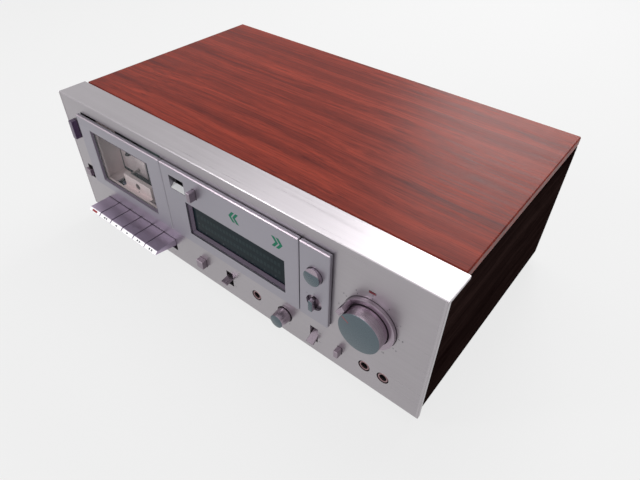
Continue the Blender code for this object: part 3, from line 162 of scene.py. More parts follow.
def lathe(outline, x, z, sides=96, closed=False, upright=False, y=0):
    """Turns (radius, behind) points about an axis along Y, or (radius, up) points about Z with upright."""
    bm = bmesh.new()
    rings = []
    for radius, along in outline:
        count = sides if radius > 0 else 1
        ring = []
        for step in range(count):
            turn = 2 * math.pi * step / count
            across, rise = radius * math.cos(turn), radius * math.sin(turn)
            spot = place(x + across, y + rise, along) if upright else place(x + across, along, z + rise)
            ring.append(bm.verts.new(spot))
        rings.append(ring)
    pairs = list(zip(rings, rings[1:]))
    if closed:
        pairs.append((rings[-1], rings[0]))
    for first, second in pairs:
        for step in range(sides):
            corners = []
            for vert in (first[step % len(first)], first[(step + 1) % len(first)],
                         second[(step + 1) % len(second)], second[step % len(second)]):
                if vert not in corners:
                    corners.append(vert)
            if len(corners) > 2:
                bm.faces.new(corners)
    bmesh.ops.recalc_face_normals(bm, faces=bm.faces)
    return bm


def prism(outline, spots):
    """A solid of an outline: spots gives the near and far place of each outline point."""
    bm = bmesh.new()
    near, far = [], []
    for point in outline:
        first, last = spots(*point)
        near.append(bm.verts.new(first))
        far.append(bm.verts.new(last))
    bm.faces.new(near)
    bm.faces.new(far)
    for step in range(len(near)):
        following = (step + 1) % len(near)
        bm.faces.new((near[step], near[following], far[following], far[step]))
    bmesh.ops.recalc_face_normals(bm, faces=bm.faces)
    return bm


def along_x(outline, left, right):
    """A solid with the same (behind, up) outline from its left to its right end."""
    return prism(outline, lambda y, z: (place(left, y, z), place(right, y, z)))


def along_y(outline, front, back):
    """A solid with the same (across, up) outline from its front to its back."""
    return prism(outline, lambda x, z: (place(x, front, z), place(x, back, z)))


def mitred(low_x, low_z, high_x, high_z, section):
    """A rectangular frame of a closed (inset, behind) section, mitred at its corners."""
    bm = bmesh.new()
    loops = []
    for x, z, inward_x, inward_z in ((low_x, low_z, 1, 1), (high_x, low_z, -1, 1),
                                     (high_x, high_z, -1, -1), (low_x, high_z, 1, -1)):
        loops.append([bm.verts.new(place(x + inward_x * inset, behind, z + inward_z * inset))
                      for inset, behind in section])
    for corner in range(4):
        first, second = loops[corner], loops[(corner + 1) % 4]
        for step in range(len(section)):
            following = (step + 1) % len(section)
            bm.faces.new((first[step], first[following], second[following], second[step]))
    bmesh.ops.recalc_face_normals(bm, faces=bm.faces)
    return bm


def as_mesh(name, bm):
    """A mesh of the bmesh, which is freed."""
    mesh = bpy.data.meshes.new(name)
    bm.to_mesh(mesh)
    bm.free()
    return mesh


def evaluated(thing):
    """The plain mesh that an object's modifiers give."""
    graph = bpy.context.evaluated_depsgraph_get()
    return bpy.data.meshes.new_from_object(thing.evaluated_get(graph))


def drilled(name, bm, tool_bm):
    """The first solid with the second cut out of it."""
    solid = bpy.data.objects.new(name, as_mesh(name, bm))
    tool = bpy.data.objects.new(name + "_tool", as_mesh(name + "_tool", tool_bm))
    for thing in (solid, tool):
        bpy.context.scene.collection.objects.link(thing)
    step = solid.modifiers.new("cut", "BOOLEAN")
    step.operation = "DIFFERENCE"
    step.object = tool
    step.solver = "EXACT"
    mesh = evaluated(solid)
    bpy.data.objects.remove(solid, do_unlink=True)
    bpy.data.objects.remove(tool, do_unlink=True)
    return mesh


def show(name, shape, finish, body, stands_for=(), sharp=32):
    """Makes a piece of the mesh, gives it its finish and hangs it on its body."""
    mesh = as_mesh(name, shape) if isinstance(shape, bmesh.types.BMesh) else shape
    mesh.name = name
    mesh.materials.clear()
    mesh.materials.append(finish)
    mesh.shade_smooth()
    mesh.set_sharp_from_angle(angle=math.radians(sharp))
    piece = bpy.data.objects.new(name, mesh)
    bpy.context.scene.collection.objects.link(piece)
    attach(piece, body)
    if stands_for:
        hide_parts(*stands_for)
    return piece


def dress(finish, *names):
    """Gives carried-over nodes a finish."""
    for name in names:
        for holder in PARTS[name].material_slots:
            holder.material = finish


def lettering(text, size, x, y, z):
    """Raised figures facing forward, centred on a place."""
    curve = bpy.data.curves.new("figures", "FONT")
    curve.body = text
    curve.size = size * MM
    curve.extrude = INK * MM / 2
    curve.resolution_u = 3
    curve.align_x = "CENTER"
    curve.align_y = "CENTER"
    drawn = bpy.data.objects.new("figures", curve)
    bpy.context.scene.collection.objects.link(drawn)
    mesh = evaluated(drawn)
    bpy.data.objects.remove(drawn, do_unlink=True)
    mesh.transform(Matrix.Translation(place(x, y, z)) @ Matrix.Rotation(math.radians(90), 4, "X"))
    bm = bmesh.new()
    bm.from_mesh(mesh)
    bpy.data.meshes.remove(mesh)
    bmesh.ops.remove_doubles(bm, verts=bm.verts, dist=0.000001)
    return bm


def merged(parts):
    """One mesh of several."""
    whole = bmesh.new()
    for bm in parts:
        mesh = as_mesh("part", bm)
        whole.from_mesh(mesh)
        bpy.data.meshes.remove(mesh)
    return whole


# Finishes

def new_finish(name):
    """A material with its node tree and its shader."""
    finish = bpy.data.materials.new(name)
    finish.use_nodes = True
    return finish, finish.node_tree, finish.node_tree.nodes["Principled BSDF"]


def add_node(tree, kind, inputs=None, **settings):
    """Adds a node, links the inputs that are sockets and sets the others."""
    made = tree.nodes.new(kind)
    for key, value in settings.items():
        setattr(made, key, value)
    for key, value in (inputs or {}).items():
        if isinstance(value, bpy.types.NodeSocket):
            tree.links.new(value, made.inputs[key])
        else:
            made.inputs[key].default_value = value
    return made


def noise(tree, scale, detail=3.0, roughness=0.6, distortion=0.0, vector=None):
    """Noise on the object's own coordinates, stretched by a scale for each axis."""
    start = vector or add_node(tree, "ShaderNodeTexCoord").outputs["Object"]
    mapped = add_node(tree, "ShaderNodeMapping", {"Vector": start, "Scale": scale})
    return add_node(tree, "ShaderNodeTexNoise", {
        "Vector": mapped.outputs[0], "Scale": 1.0, "Detail": detail, "Roughness": roughness,
        "Distortion": distortion}).outputs["Fac"]


def ramp(tree, value, stops):
    """A colour for a value, between (position, colour) stops."""
    made = add_node(tree, "ShaderNodeValToRGB", {"Fac": value})
    marks = made.color_ramp.elements
    while len(marks) < len(stops):
        marks.new(0.5)
    for mark, (position, colour) in zip(marks, stops):
        mark.position = position
        mark.color = (*colour, 1)
    return made.outputs["Color"]


def spread(tree, value, low, high, start=0.3, end=0.7):
    """The value's range from start to end, spread between low and high."""
    return add_node(tree, "ShaderNodeMapRange", {
        "Value": value, "From Min": start, "From Max": end, "To Min": low, "To Max": high}).outputs["Result"]


def scaled(colour, share):
    """A lighter or darker colour."""
    return tuple(min(1, part * share) for part in colour)


def maths(tree, operation, *values):
    """The result of a sum on sockets or numbers."""
    made = add_node(tree, "ShaderNodeMath", dict(enumerate(values)), operation=operation)
    return made.outputs[0]


def bump(tree, shader, height, distance, strength):
    """Raises the surface by the height, which runs from 0 to 1, times the distance."""
    made = add_node(tree, "ShaderNodeBump", {"Height": height, "Distance": distance, "Strength": strength})
    tree.links.new(made.outputs["Normal"], shader.inputs["Normal"])


def brushed_metal(name, colour, roughness, stroke, depth, variation=0.07):
    """Brushed metal: strokes run along the axis whose scale is small."""
    finish, tree, shader = new_finish(name)
    strokes = noise(tree, stroke, 5, 0.65)
    cloud = noise(tree, (9, 9, 9), 3, 0.5)
    tone = maths(tree, "ADD", strokes, cloud)
    tree.links.new(ramp(tree, spread(tree, tone, 0, 1, 0.7, 1.3), [
        (0, scaled(colour, 1 - variation)), (1, scaled(colour, 1 + variation))]), shader.inputs["Base Color"])
    tree.links.new(spread(tree, strokes, roughness - 0.07, roughness + 0.07), shader.inputs["Roughness"])
    shader.inputs["Metallic"].default_value = 1.0
    bump(tree, shader, strokes, depth, 0.6)
    return finish


def turned_metal(name, side, face, roughness, middle, front, depth=0.00003):
    """Metal with the fine rings of a lathe about an axis along Y; its front face gets a darker tone, a painted
    reflection of dark surroundings.
    """
    finish, tree, shader = new_finish(name)
    start = add_node(tree, "ShaderNodeTexCoord").outputs["Object"]
    moved = add_node(tree, "ShaderNodeMapping", {
        "Vector": start, "Location": (-middle.x, 0, -middle.z), "Scale": (1, 0, 1)}).outputs[0]
    radius = add_node(tree, "ShaderNodeVectorMath", {0: moved}, operation="LENGTH").outputs["Value"]
    behind = add_node(tree, "ShaderNodeSeparateXYZ", {"Vector": start}).outputs["Y"]
    path = maths(tree, "ADD", radius, behind)
    rings = add_node(tree, "ShaderNodeTexNoise", {
        "W": path, "Scale": 2600.0, "Detail": 3.0, "Roughness": 0.6}, noise_dimensions="1D").outputs["Fac"]
    # Mask of the front face, which takes the darker painted reflection tone
    on_face = spread(tree, behind, 1, 0, front + 0.2 * MM, front + 0.6 * MM)
    tones = [ramp(tree, spread(tree, rings, 0, 1), [(0, scaled(tone, 0.90)), (1, scaled(tone, 1.08))])
             for tone in (side, face)]
    blend = add_node(tree, "ShaderNodeMix", {"Factor": on_face, 6: tones[0], 7: tones[1]}, data_type="RGBA")
    tree.links.new(blend.outputs[2], shader.inputs["Base Color"])
    tree.links.new(spread(tree, rings, roughness - 0.06, roughness + 0.06), shader.inputs["Roughness"])
    shader.inputs["Metallic"].default_value = 1.0
    bump(tree, shader, rings, depth, 0.5)
    return finish


def plain_metal(name, colour, roughness, grain=900.0, depth=0.00002):
    """Plated or cast metal with a fine even grain."""
    return brushed_metal(name, colour, roughness, (grain, grain, grain), depth, 0.05)


def coated(name, colour, roughness, grain=1400.0, depth=0.00002, variation=0.10, coat=0.0,
           specular=0.5):
    """Moulded plastic, rubber, ink or paint with a fine grain and slight mottling."""
    finish, tree, shader = new_finish(name)
    fine = noise(tree, (grain, grain, grain), 2, 0.6)
    cloud = noise(tree, (40, 40, 40), 3, 0.5)
    tree.links.new(ramp(tree, spread(tree, cloud, 0, 1), [
        (0, scaled(colour, 1 - variation)), (1, scaled(colour, 1 + variation))]), shader.inputs["Base Color"])
    smoothest, roughest = max(0.02, roughness - 0.05), roughness + 0.05
    tree.links.new(spread(tree, fine, smoothest, roughest), shader.inputs["Roughness"])
    shader.inputs["Specular IOR Level"].default_value = specular
    shader.inputs["Coat Weight"].default_value = coat
    bump(tree, shader, fine, depth, 0.5)
    return finish


def veneer(name, dark, light, along, sheen=0.08, roughness=0.38):
    """Straight-grained veneer: bands, fine lines and pores stretched along one axis."""
    finish, tree, shader = new_finish(name)

    def stretched(lengthways, across):
        return tuple(lengthways if axis == along else across for axis in range(3))

    middle = tuple((low + high) / 2 for low, high in zip(dark, light))
    wander = noise(tree, stretched(2.2, 9), 3, 0.55)
    start = add_node(tree, "ShaderNodeTexCoord").outputs["Object"]
    drift = add_node(tree, "ShaderNodeVectorMath", {0: wander, 1: (0.05, 0.05, 0.05)},
                     operation="MULTIPLY").outputs[0]
    warped = add_node(tree, "ShaderNodeVectorMath", {0: start, 1: drift}, operation="ADD").outputs[0]
    bands = noise(tree, stretched(0.8, 40), 4, 0.62, 0.10, warped)
    lines = noise(tree, stretched(1.6, 420), 5, 0.70, 0.05, warped)
    pores = noise(tree, stretched(42, 1500), 2, 0.6)
    mixed = maths(tree, "MULTIPLY_ADD", lines, 0.45, maths(tree, "MULTIPLY", bands, 0.55))
    base = ramp(tree, mixed, [(0.36, dark), (0.45, scaled(middle, 0.66)), (0.50, scaled(middle, 0.86)),
                              (0.56, scaled(light, 0.72)), (0.66, light)])
    fleck = ramp(tree, pores, [(0.30, (0.42, 0.36, 0.36)), (0.46, (1, 1, 1))])
    blend = add_node(tree, "ShaderNodeMix", {"Factor": 1.0}, data_type="RGBA", blend_type="MULTIPLY")
    tree.links.new(base, blend.inputs[6])
    tree.links.new(fleck, blend.inputs[7])
    tree.links.new(blend.outputs[2], shader.inputs["Base Color"])
    tree.links.new(spread(tree, lines, roughness - 0.05, roughness + 0.07), shader.inputs["Roughness"])
    shader.inputs["Specular IOR Level"].default_value = sheen
    bump(tree, shader, pores, 0.00003, 0.5)
    return finish


def clear(name, colour, alpha, roughness=0.03):
    """A clear sheet that lets all but the alpha's share of the light through."""
    finish, tree, shader = new_finish(name)
    faint = noise(tree, (60, 60, 60), 2, 0.5)
    tree.links.new(spread(tree, faint, roughness, roughness + 0.03), shader.inputs["Roughness"])
    tint = ramp(tree, faint, [(0.3, scaled(colour, 0.94)), (0.7, colour)])
    tree.links.new(tint, shader.inputs["Base Color"])
    shader.inputs["Specular IOR Level"].default_value = 0.25
    shader.inputs["Alpha"].default_value = alpha
    return finish


# Node trees for what repeats

def block_tree(name, numbers):
    """A node tree with named inputs, and the sockets that give them."""
    tree = bpy.data.node_groups.new(name, "GeometryNodeTree")
    tree.interface.new_socket("Geometry", in_out="INPUT", socket_type="NodeSocketGeometry")
    tree.interface.new_socket("Geometry", in_out="OUTPUT", socket_type="NodeSocketGeometry")
    for label, kind in numbers:
        tree.interface.new_socket(label, in_out="INPUT", socket_type="NodeSocket" + kind)
    tree.interface.new_socket("Finish", in_out="INPUT", socket_type="NodeSocketMaterial")
    given = tree.nodes.new("NodeGroupInput").outputs
    return tree, given


def close_tree(tree, given, instances):
    """Turns the instances to plain mesh with the given finish and ends the tree."""
    real = add_node(tree, "GeometryNodeRealizeInstances", {"Geometry": instances})
    finished = add_node(tree, "GeometryNodeSetMaterial", {
        "Geometry": real.outputs[0], "Material": given["Finish"]})
    ending = tree.nodes.new("NodeGroupOutput")
    tree.links.new(finished.outputs[0], ending.inputs[0])
    return tree


def ring_tree():
    """Blocks set round an arc about an axis along Y, each turned to point outwards."""
    tree, given = block_tree("Blocks round an arc", [
        ("Count", "Int"), ("Radius", "Float"), ("Start", "Float"), ("Step", "Float"), ("Block", "Vector")])
    line = add_node(tree, "GeometryNodeMeshLine", {"Count": given["Count"], "Offset": (0, 0, 0)})
    index = tree.nodes.new("GeometryNodeInputIndex").outputs[0]
    turn = maths(tree, "MULTIPLY_ADD", index, given["Step"], given["Start"])
    facing = add_node(tree, "ShaderNodeCombineXYZ", {"Y": turn}).outputs[0]
    outwards = add_node(tree, "ShaderNodeCombineXYZ", {"Z": given["Radius"]}).outputs[0]
    spot = add_node(tree, "ShaderNodeVectorRotate", {"Vector": outwards, "Rotation": facing},
                    rotation_type="EULER_XYZ").outputs[0]
    placed = add_node(tree, "GeometryNodeSetPosition", {"Geometry": line.outputs[0], "Position": spot})
    block = add_node(tree, "GeometryNodeMeshCube", {"Size": given["Block"]})
    spread_out = add_node(tree, "GeometryNodeInstanceOnPoints", {
        "Points": placed.outputs[0], "Instance": block.outputs[0], "Rotation": facing})
    return close_tree(tree, given, spread_out.outputs[0])


def rows_tree():
    """Blocks in rows and columns on an upright plane."""
    tree, given = block_tree("Blocks in rows", [
        ("Columns", "Int"), ("Rows", "Int"), ("Across", "Vector"), ("Up", "Vector"), ("Block", "Vector")])
    row = add_node(tree, "GeometryNodeMeshLine", {"Count": given["Columns"], "Offset": given["Across"]})
    column = add_node(tree, "GeometryNodeMeshLine", {"Count": given["Rows"], "Offset": given["Up"]})
    block = add_node(tree, "GeometryNodeMeshCube", {"Size": given["Block"]})
    one_row = add_node(tree, "GeometryNodeInstanceOnPoints", {
        "Points": row.outputs[0], "Instance": block.outputs[0]})
    all_rows = add_node(tree, "GeometryNodeInstanceOnPoints", {
        "Points": column.outputs[0], "Instance": one_row.outputs[0]})
    return close_tree(tree, given, all_rows.outputs[0])


def points_tree():
    """A copy of one small piece at each point of the object's own mesh."""
    tree, given = block_tree("Pieces at points", [("Piece", "Object")])
    piece = add_node(tree, "GeometryNodeObjectInfo", {"Object": given["Piece"]})
    spread_out = add_node(tree, "GeometryNodeInstanceOnPoints", {
        "Points": given["Geometry"], "Instance": piece.outputs["Geometry"]})
    return close_tree(tree, given, spread_out.outputs[0])


TREES = {}


def grown(name, kind, values, finish, points=()):
    """Runs a node tree and returns the plain mesh it makes."""
    if kind not in TREES:
        TREES[kind] = {"ring": ring_tree, "rows": rows_tree, "points": points_tree}[kind]()
    tree = TREES[kind]
    mesh = bpy.data.meshes.new(name)
    mesh.from_pydata([tuple(spot) for spot in points], [], [])
    seed = bpy.data.objects.new(name + "_seed", mesh)
    step = seed.modifiers.new("grow", "NODES")
    step.node_group = tree
    sockets = {item.name: item.identifier for item in tree.interface.items_tree if item.in_out == "INPUT"}
    for label, value in dict(values, Finish=finish).items():
        step[sockets[label]] = value
    bpy.context.scene.collection.objects.link(seed)
    result = evaluated(seed)
    bpy.data.objects.remove(seed, do_unlink=True)
    return result


def ring_of_blocks(name, middle, finish, **values):
    """Blocks round an axis along Y through a place."""
    mesh = grown(name, "ring", values, finish)
    mesh.transform(Matrix.Translation(middle))
    return mesh


def turned_copy(name, piece_bm, spots, finish):
    """Copies of a small piece, made at the frame's origin, at each of the places."""
    pattern = bpy.data.objects.new(name + "_pattern", as_mesh(name, piece_bm))
    bpy.context.scene.collection.objects.link(pattern)
    mesh = grown(name, "points", {"Piece": pattern}, finish, spots)
    bpy.data.objects.remove(pattern, do_unlink=True)
    return mesh


def screw_head(radius, axis):
    """A raised screw head with a cross slot; its flat back lies at the origin and it faces along axis."""
    bm = lathe([(0, 0), (radius, 0), (radius, -0.35), (radius * 0.72, -1.0), (0, -1.15)], 0, 0, 20)
    bmesh.ops.translate(bm, verts=bm.verts, vec=-CORNER)
    for across, up in ((radius * 1.1, radius * 0.22), (radius * 0.22, radius * 1.1)):
        slot = bmesh.new()
        bmesh.ops.create_cube(slot, size=1, matrix=Matrix.Translation((0, -1.1 * MM, 0)) @ Matrix.Diagonal(
            (across * MM, 1.2 * MM, up * MM, 1)))
        mesh = drilled("screw", bm, slot)
        bm = bmesh.new()
        bm.from_mesh(mesh)
        bpy.data.meshes.remove(mesh)
    facing = Vector((0, -1, 0)).rotation_difference(Vector(axis)).to_matrix()
    bmesh.ops.rotate(bm, verts=bm.verts, matrix=facing)
    return bm


FINISHES = {}


def finishes(context):
    """Every finish of the deck, made once."""
    if FINISHES:
        return FINISHES
    chosen = context.scene.deck_finishes
    panel, block, control = tuple(chosen.panel), tuple(chosen.block), tuple(chosen.control)
    keys, dark, light = tuple(chosen.keys), tuple(chosen.wood_dark), tuple(chosen.wood_light)
    FINISHES.update({
        "panel": brushed_metal("brushed_aluminium", panel, 0.34, (7, 620, 620), 0.00004),
        "block": brushed_metal("satin_aluminium", block, 0.40, (14, 800, 800), 0.00002, 0.05),
        "trim": brushed_metal("polished_edge", scaled(panel, 1.1), 0.22, (20, 500, 500), 0.00001, 0.04),
        # Buttons and levers take a darker copy of the controls' metal: painted shade for their dark fronts
        "square": brushed_metal("darker_buttons_painted_shade", scaled(control, 0.8), 0.32, (900, 60, 900), 0.00002),
        "keys": brushed_metal("satin_keys", keys, 0.36, (40, 900, 900), 0.00002, 0.06),
        # The near-white lips are a painted highlight of the light on their 45-degree slope
        "key_lip": brushed_metal("key_lips_painted_highlight", (0.96, 0.95, 0.96), 0.34, (40, 900, 900), 0.00001, 0.03),
        "power": coated("dark_power_button", (0.080, 0.045, 0.105), 0.34, coat=0.3),
        "wood_top": veneer("wood_veneer_along_the_top", dark, light, 0),
        # The sides use a much darker copy of the veneer: painted shade, for sides that stand in shadow
        "wood_side": veneer("side_veneer_painted_shade", (0.010, 0.004, 0.004), (0.040, 0.022, 0.020), 1,
                            0.0, 0.60),
        "steel": plain_metal("plated_steel", (0.50, 0.48, 0.47), 0.36),
        # Dark teal on the mechanism plate is painted shade for the shadowed inside of the cassette well
        "plate": plain_metal("drive_plate_painted_shade", (0.055, 0.085, 0.085), 0.42),
        "cover": coated("pale_cover_plate", (0.96, 0.83, 0.85), 0.45),
        # A dark blue block standing in the shade between the holder's ledge and the head cover: painted shade
        "shade_piece": coated("dark_blue_painted_shade", (0.030, 0.040, 0.085), 0.40),
        # Bright strips on the top chamfers: a painted highlight of the light falling on them
        "edge": brushed_metal("painted_edge_highlights", (0.44, 0.38, 0.43), 0.36, (20, 900, 900), 0.00001, 0.03),
        # A white sill below the counter window: a painted highlight standing for the lit floor of the well
        "sill": coated("sill_painted_highlight", (0.95, 0.95, 0.97), 0.35),
        "bright_steel": plain_metal("polished_steel", (0.62, 0.60, 0.60), 0.18),
        "head": plain_metal("tape_head_face", (0.42, 0.42, 0.44), 0.14, 2400),
        "flywheel": plain_metal("turned_flywheel", (0.46, 0.44, 0.42), 0.32, 1500),
        "brass": plain_metal("turned_brass", (0.52, 0.34, 0.12), 0.28, 1500),
        "black_paint": coated("black_painted_steel", (0.018, 0.018, 0.02), 0.42, 2600, 0.00004),
        "black": coated("black_plastic", (0.016, 0.016, 0.018), 0.42),
        "well": coated("dark_meter_frame", (0.085, 0.055, 0.100), 0.30, coat=0.2),
        "rubber": coated("black_rubber", (0.020, 0.020, 0.021), 0.78, 1800, 0.00006),
        "cream": coated("cream_plastic", (0.82, 0.69, 0.69), 0.40, coat=0.15),
        "dimple": coated("shaded_dimple", (0.075, 0.060, 0.060), 0.55),
        "glass": clear("clear_acrylic_window", (0.70, 0.74, 0.78), 0.045),
        "display": coated("smoked_display_glass", (0.010, 0.020, 0.026), 0.10, 300, 0.000001, 0.12,
                          specular=0.06),
        "bars": coated("unlit_display_bars", (0.020, 0.036, 0.042), 0.14, 900, 0.000002, 0.12,
                       specular=0.06),
        "faint": coated("faint_display_figures", (0.060, 0.090, 0.090), 0.15, 900, 0.000002),
        "lamp": coated("red_lamp_lens", (0.16, 0.004, 0.012), 0.12, 500, 0.000002, 0.1, 0.5),
        "arrows": coated("green_arrow_ink", tuple(chosen.arrows), 0.45, specular=0.2),
        "ink": coated("dark_dial_ink", tuple(chosen.ink), 0.45),
        "grey_ink": coated("grey_key_ink", (0.11, 0.105, 0.13), 0.5),
        "red_ink": coated("red_key_ink", (0.42, 0.012, 0.020), 0.45),
        "white_ink": coated("white_figures", (0.70, 0.70, 0.66), 0.5),
        "board": coated("green_circuit_board", (0.030, 0.110, 0.030), 0.45, 700, 0.00003, 0.2, 0.3),
        "core": brushed_metal("varnished_core", (0.10, 0.10, 0.11), 0.50, (40, 40, 1800), 0.00008, 0.2),
        "rim": plain_metal("socket_rims", (0.30, 0.19, 0.20), 0.28, 1500),
    })
    return FINISHES


class DeckStep:
    """What every step of the deck shares."""
    bl_options = {"REGISTER", "UNDO"}

    def execute(self, context):
        self.make(finishes(context), context.scene.deck_details)
        return {"FINISHED"}


def chevron(tip, step, low, high, stroke=3.1, run=4.1):
    """The outline of an arrow head; step is 1 where it points left and -1 where it points right."""
    middle = (low + high) / 2
    return [(tip, middle), (tip + step * run, high), (tip + step * (run + stroke), high),
            (tip + step * stroke, middle), (tip + step * (run + stroke), low), (tip + step * run, low)]


def bright_edge(name, finish, body):
    """A bright strip over the top chamfer of a raised plate: a painted highlight."""
    low, high = reach(name)
    outline = [(low.y + 0.3, high.z - 1.1), (low.y - 0.01, high.z - 1.1), (low.y - 0.01, high.z - 0.68),
               (low.y + 0.68, high.z + 0.01), (low.y + 1.3, high.z + 0.01), (low.y + 1.3, high.z - 0.3)]
    strip = along_x(outline, low.x + 0.6, high.x - 0.6)
    show(f"{name}_edge", strip, finish["edge"], body, (), 18)


class DECK_OT_panel(DeckStep, bpy.types.Operator):
    """Brushed front panel, raised plates, printed arrows and the marks round the level control"""
    bl_idname = "deck.panel"
    bl_label = "Front panel"

    def make(self, finish, sizes):
        dress(finish["panel"], "front_panel")
        dress(finish["block"], "meter_panel", "knob_panel")
        dress(finish["lamp"], "record_lamp")
        face = reach("meter_panel")[0].y
        arrows = [along_y(chevron(tip, step, 105.2, 115.8), face - INK, face)
                  for tip, step in ((245.3, 1), (249.9, 1), (305.0, -1), (300.4, -1))]
        show("direction_arrows", merged(arrows), finish["arrows"], "chassis")
        self.dial(finish, sizes)
        self.position_marks(finish)
        for name in ("meter_panel", "knob_panel"):
            bright_edge(name, finish, "chassis")
        # Black strips in the gaps between the plates: painted shade where the gaps are only in shadow
        shade_strips = bmesh.new()
        for before, after in (("door_frame", "meter_panel"), ("meter_panel", "knob_panel")):
            left, (low, high) = reach(before)[1].x, reach(after)
            add_block(shade_strips, (left + 0.02, -0.5, low.z), (low.x - 0.02, -0.02, high.z))
        show("gap_liners", shade_strips, finish["black"], "chassis")
        low, high = reach("front_panel")
        for side, left, right in (("left", low.x + 0.5, low.x + 2.2), ("right", high.x - 2.2, high.x - 0.5)):
            strip = bmesh.new()
            add_block(strip, (left, -0.12, 0.8), (right, 0.0, high.z - 0.8))
            show(f"panel_edge_{side}", strip, finish["trim"], "chassis")

    def dial(self, finish, sizes):
        """Ticks and the figures 0 to 10 round the level control."""
        hub = centre("level_knob")
        step = math.radians(300) / (sizes.dial_marks - 1)
        start = math.radians(-150)
        radius = sizes.dial_mark_radius
        ticks = ring_of_blocks("ticks", place(hub.x, -INK / 2, hub.z), finish["ink"],
                               Count=sizes.dial_marks, Radius=radius - 1.3 * MM, Start=start, Step=step,
                               Block=(0.45 * MM, INK * MM, 1.3 * MM))
        show("level_ticks", ticks, finish["ink"], "chassis")
        figures = []
        for number in range(sizes.dial_marks):
            turn = start + number * step
            out = radius / MM + 1.7
            figures.append(lettering(str(number), 2.5, hub.x + out * math.sin(turn), -INK / 2,
                                     hub.z + out * math.cos(turn)))
        show("level_figures", merged(figures), finish["ink"], "chassis")

    def position_marks(self, finish):
        """Small plain marks beside the levers, buttons and knobs."""
        marks = bmesh.new()
        for name, heights in (("lever_left", (16.0, 22.0, 28.0)), ("lever_right", (16.0, 28.0))):
            low, high = reach(name)
            for height in heights:
                add_block(marks, (high.x + 1.6, -INK, height - 0.15), (high.x + 4.2, 0, height + 0.15))
        for name, drop in (("square_button", 3.0), ("small_button", 3.0)):
            low, high = reach(name)
            add_block(marks, ((low.x + high.x) / 2 - 1.2, -INK, low.z - drop),
                      ((low.x + high.x) / 2 + 1.2, 0, low.z - drop + 0.3))
        low, high = reach("timer_switch")
        for height in (low.z - 3.0, (low.z + high.z) / 2, high.z + 3.0):
            add_block(marks, (high.x + 1.8, -INK, height - 0.15), (high.x + 3.6, 0, height + 0.15))
        hub = centre("output_knob")
        for turn in (-150, 150):
            across, up = math.sin(math.radians(turn)), math.cos(math.radians(turn))
            add_block(marks, (hub.x + 11 * across - 0.4, -INK, hub.z + 11 * up - 0.4),
                      (hub.x + 11 * across + 0.4, 0, hub.z + 11 * up + 0.4))
        show("position_marks", marks, finish["ink"], "chassis")
        knob = centre("selector_knob")
        face = reach("knob_panel")[0].y
        dots = ring_of_blocks("dots", place(knob.x, face - INK / 2, knob.z), finish["ink"], Count=3,
                              Radius=10.2 * MM, Start=math.radians(-45), Step=math.radians(45),
                              Block=(0.5 * MM, INK * MM, 1.0 * MM))
        show("selector_marks", dots, finish["ink"], "chassis")


class DECK_OT_cabinet(DeckStep, bpy.types.Operator):
    """Wood-covered boards, steel bottom and back, feet and screws"""
    bl_idname = "deck.cabinet"
    bl_label = "Cabinet"

    def make(self, finish, sizes):
        dress(finish["wood_top"], "cabinet_top")
        # Sides get the darker veneer, painted shade
        dress(finish["wood_side"], "cabinet_left_side", "cabinet_right_side")
        dress(finish["black_paint"], "bottom_plate", "rear_panel")
        for number in range(1, 5):
            self.foot(finish, number)
        low, high = reach("rear_panel")
        columns = [low.x + 7 + (high.x - low.x - 14) * share for share in (0, 0.25, 0.5, 0.75, 1)]
        spots = [place(x, high.y, z) for x in columns for z in (low.z + 7, high.z - 7)]
        rear = turned_copy("rear_screws", screw_head(3.0, (0, 1, 0)), spots, finish["black_paint"])
        show("rear_screws", rear, finish["black_paint"], "chassis")
        low, high = reach("bottom_plate")
        middle = (low.y + high.y) / 2
        spots = [place(x, y, low.z) for x in (low.x + 8, (low.x + high.x) / 2, high.x - 8)
                 for y in (low.y + 9, middle, high.y - 9)]
        under = turned_copy("bottom_screws", screw_head(3.0, (0, 0, -1)), spots, finish["black_paint"])
        show("bottom_screws", under, finish["black_paint"], "chassis")

    def foot(self, finish, number):
        """A stepped rubber foot with its sunk screw."""
        name = f"foot_{number}"
        low, high = reach(name)
        middle = (low + high) / 2
        base, top = low.z, high.z
        outline = [(0, base + 3.5), (4.2, base + 3.5), (4.6, base), (11.9, base), (12.5, base + 0.7),
                   (13.1, base + 5.4), (12.7, base + 5.8), (12.8, base + 6.6), (13.3, base + 7.0),
                   (13.9, top - 0.4), (13.6, top), (0, top)]
        show(f"{name}_rubber", lathe(outline, middle.x, 0, 64, upright=True, y=middle.y), finish["rubber"],
             "chassis", (name,))
        screw = turned_copy(name, screw_head(2.6, (0, 0, -1)), [place(middle.x, middle.y, base + 3.5)],
                            finish["steel"])
        show(f"{name}_screw", screw, finish["steel"], "chassis")


class DECK_OT_door(DeckStep, bpy.types.Operator):
    """Door plate, window and its dark trim, and the cassette holder"""
    bl_idname = "deck.door"
    bl_label = "Cassette door"

    def make(self, finish, sizes):
        dress(finish["block"], "door_frame")
        bright_edge("door_frame", finish, "door")
        dress(finish["glass"], "door_window")
        dress(finish["cream"], "cassette_holder")
        low, high = reach("door_window")
        trim = mitred(low.x, low.z, high.x, high.z,
                      [(0, low.y - 0.02), (0, low.y - 1.1), (0.5, low.y - 1.1), (2.1, low.y - 0.02)])
        show("window_trim", trim, finish["well"], "door")
        hub = centre("cassette_holder").x
        back = PAD_FACE - 0.02
        pad = [(0, 5.94), (2.2, 5.90), (2.7, 5.72), (3.1, 5.72), (3.3, back), (0, back)]
        show("pad_dimple", lathe(pad, hub, 62.6, 48), finish["dimple"], "door")
        peg = [(0, 5.3), (0.8, 5.3), (1.0, 5.5), (1.0, back), (0, back)]
        show("pad_peg", lathe(peg, hub, 55.4, 32), finish["dimple"], "door")
        # Dark blue block where there is only shade between the ledge and the head cover: painted shade
        shade_piece = bmesh.new()
        add_block(shade_piece, (65.5, 6.2, 45.2), (72.9, 9.6, 55.0))
        soften(shade_piece, 0.3 * MM)
        show("pad_guide", shade_piece, finish["shade_piece"], "door")


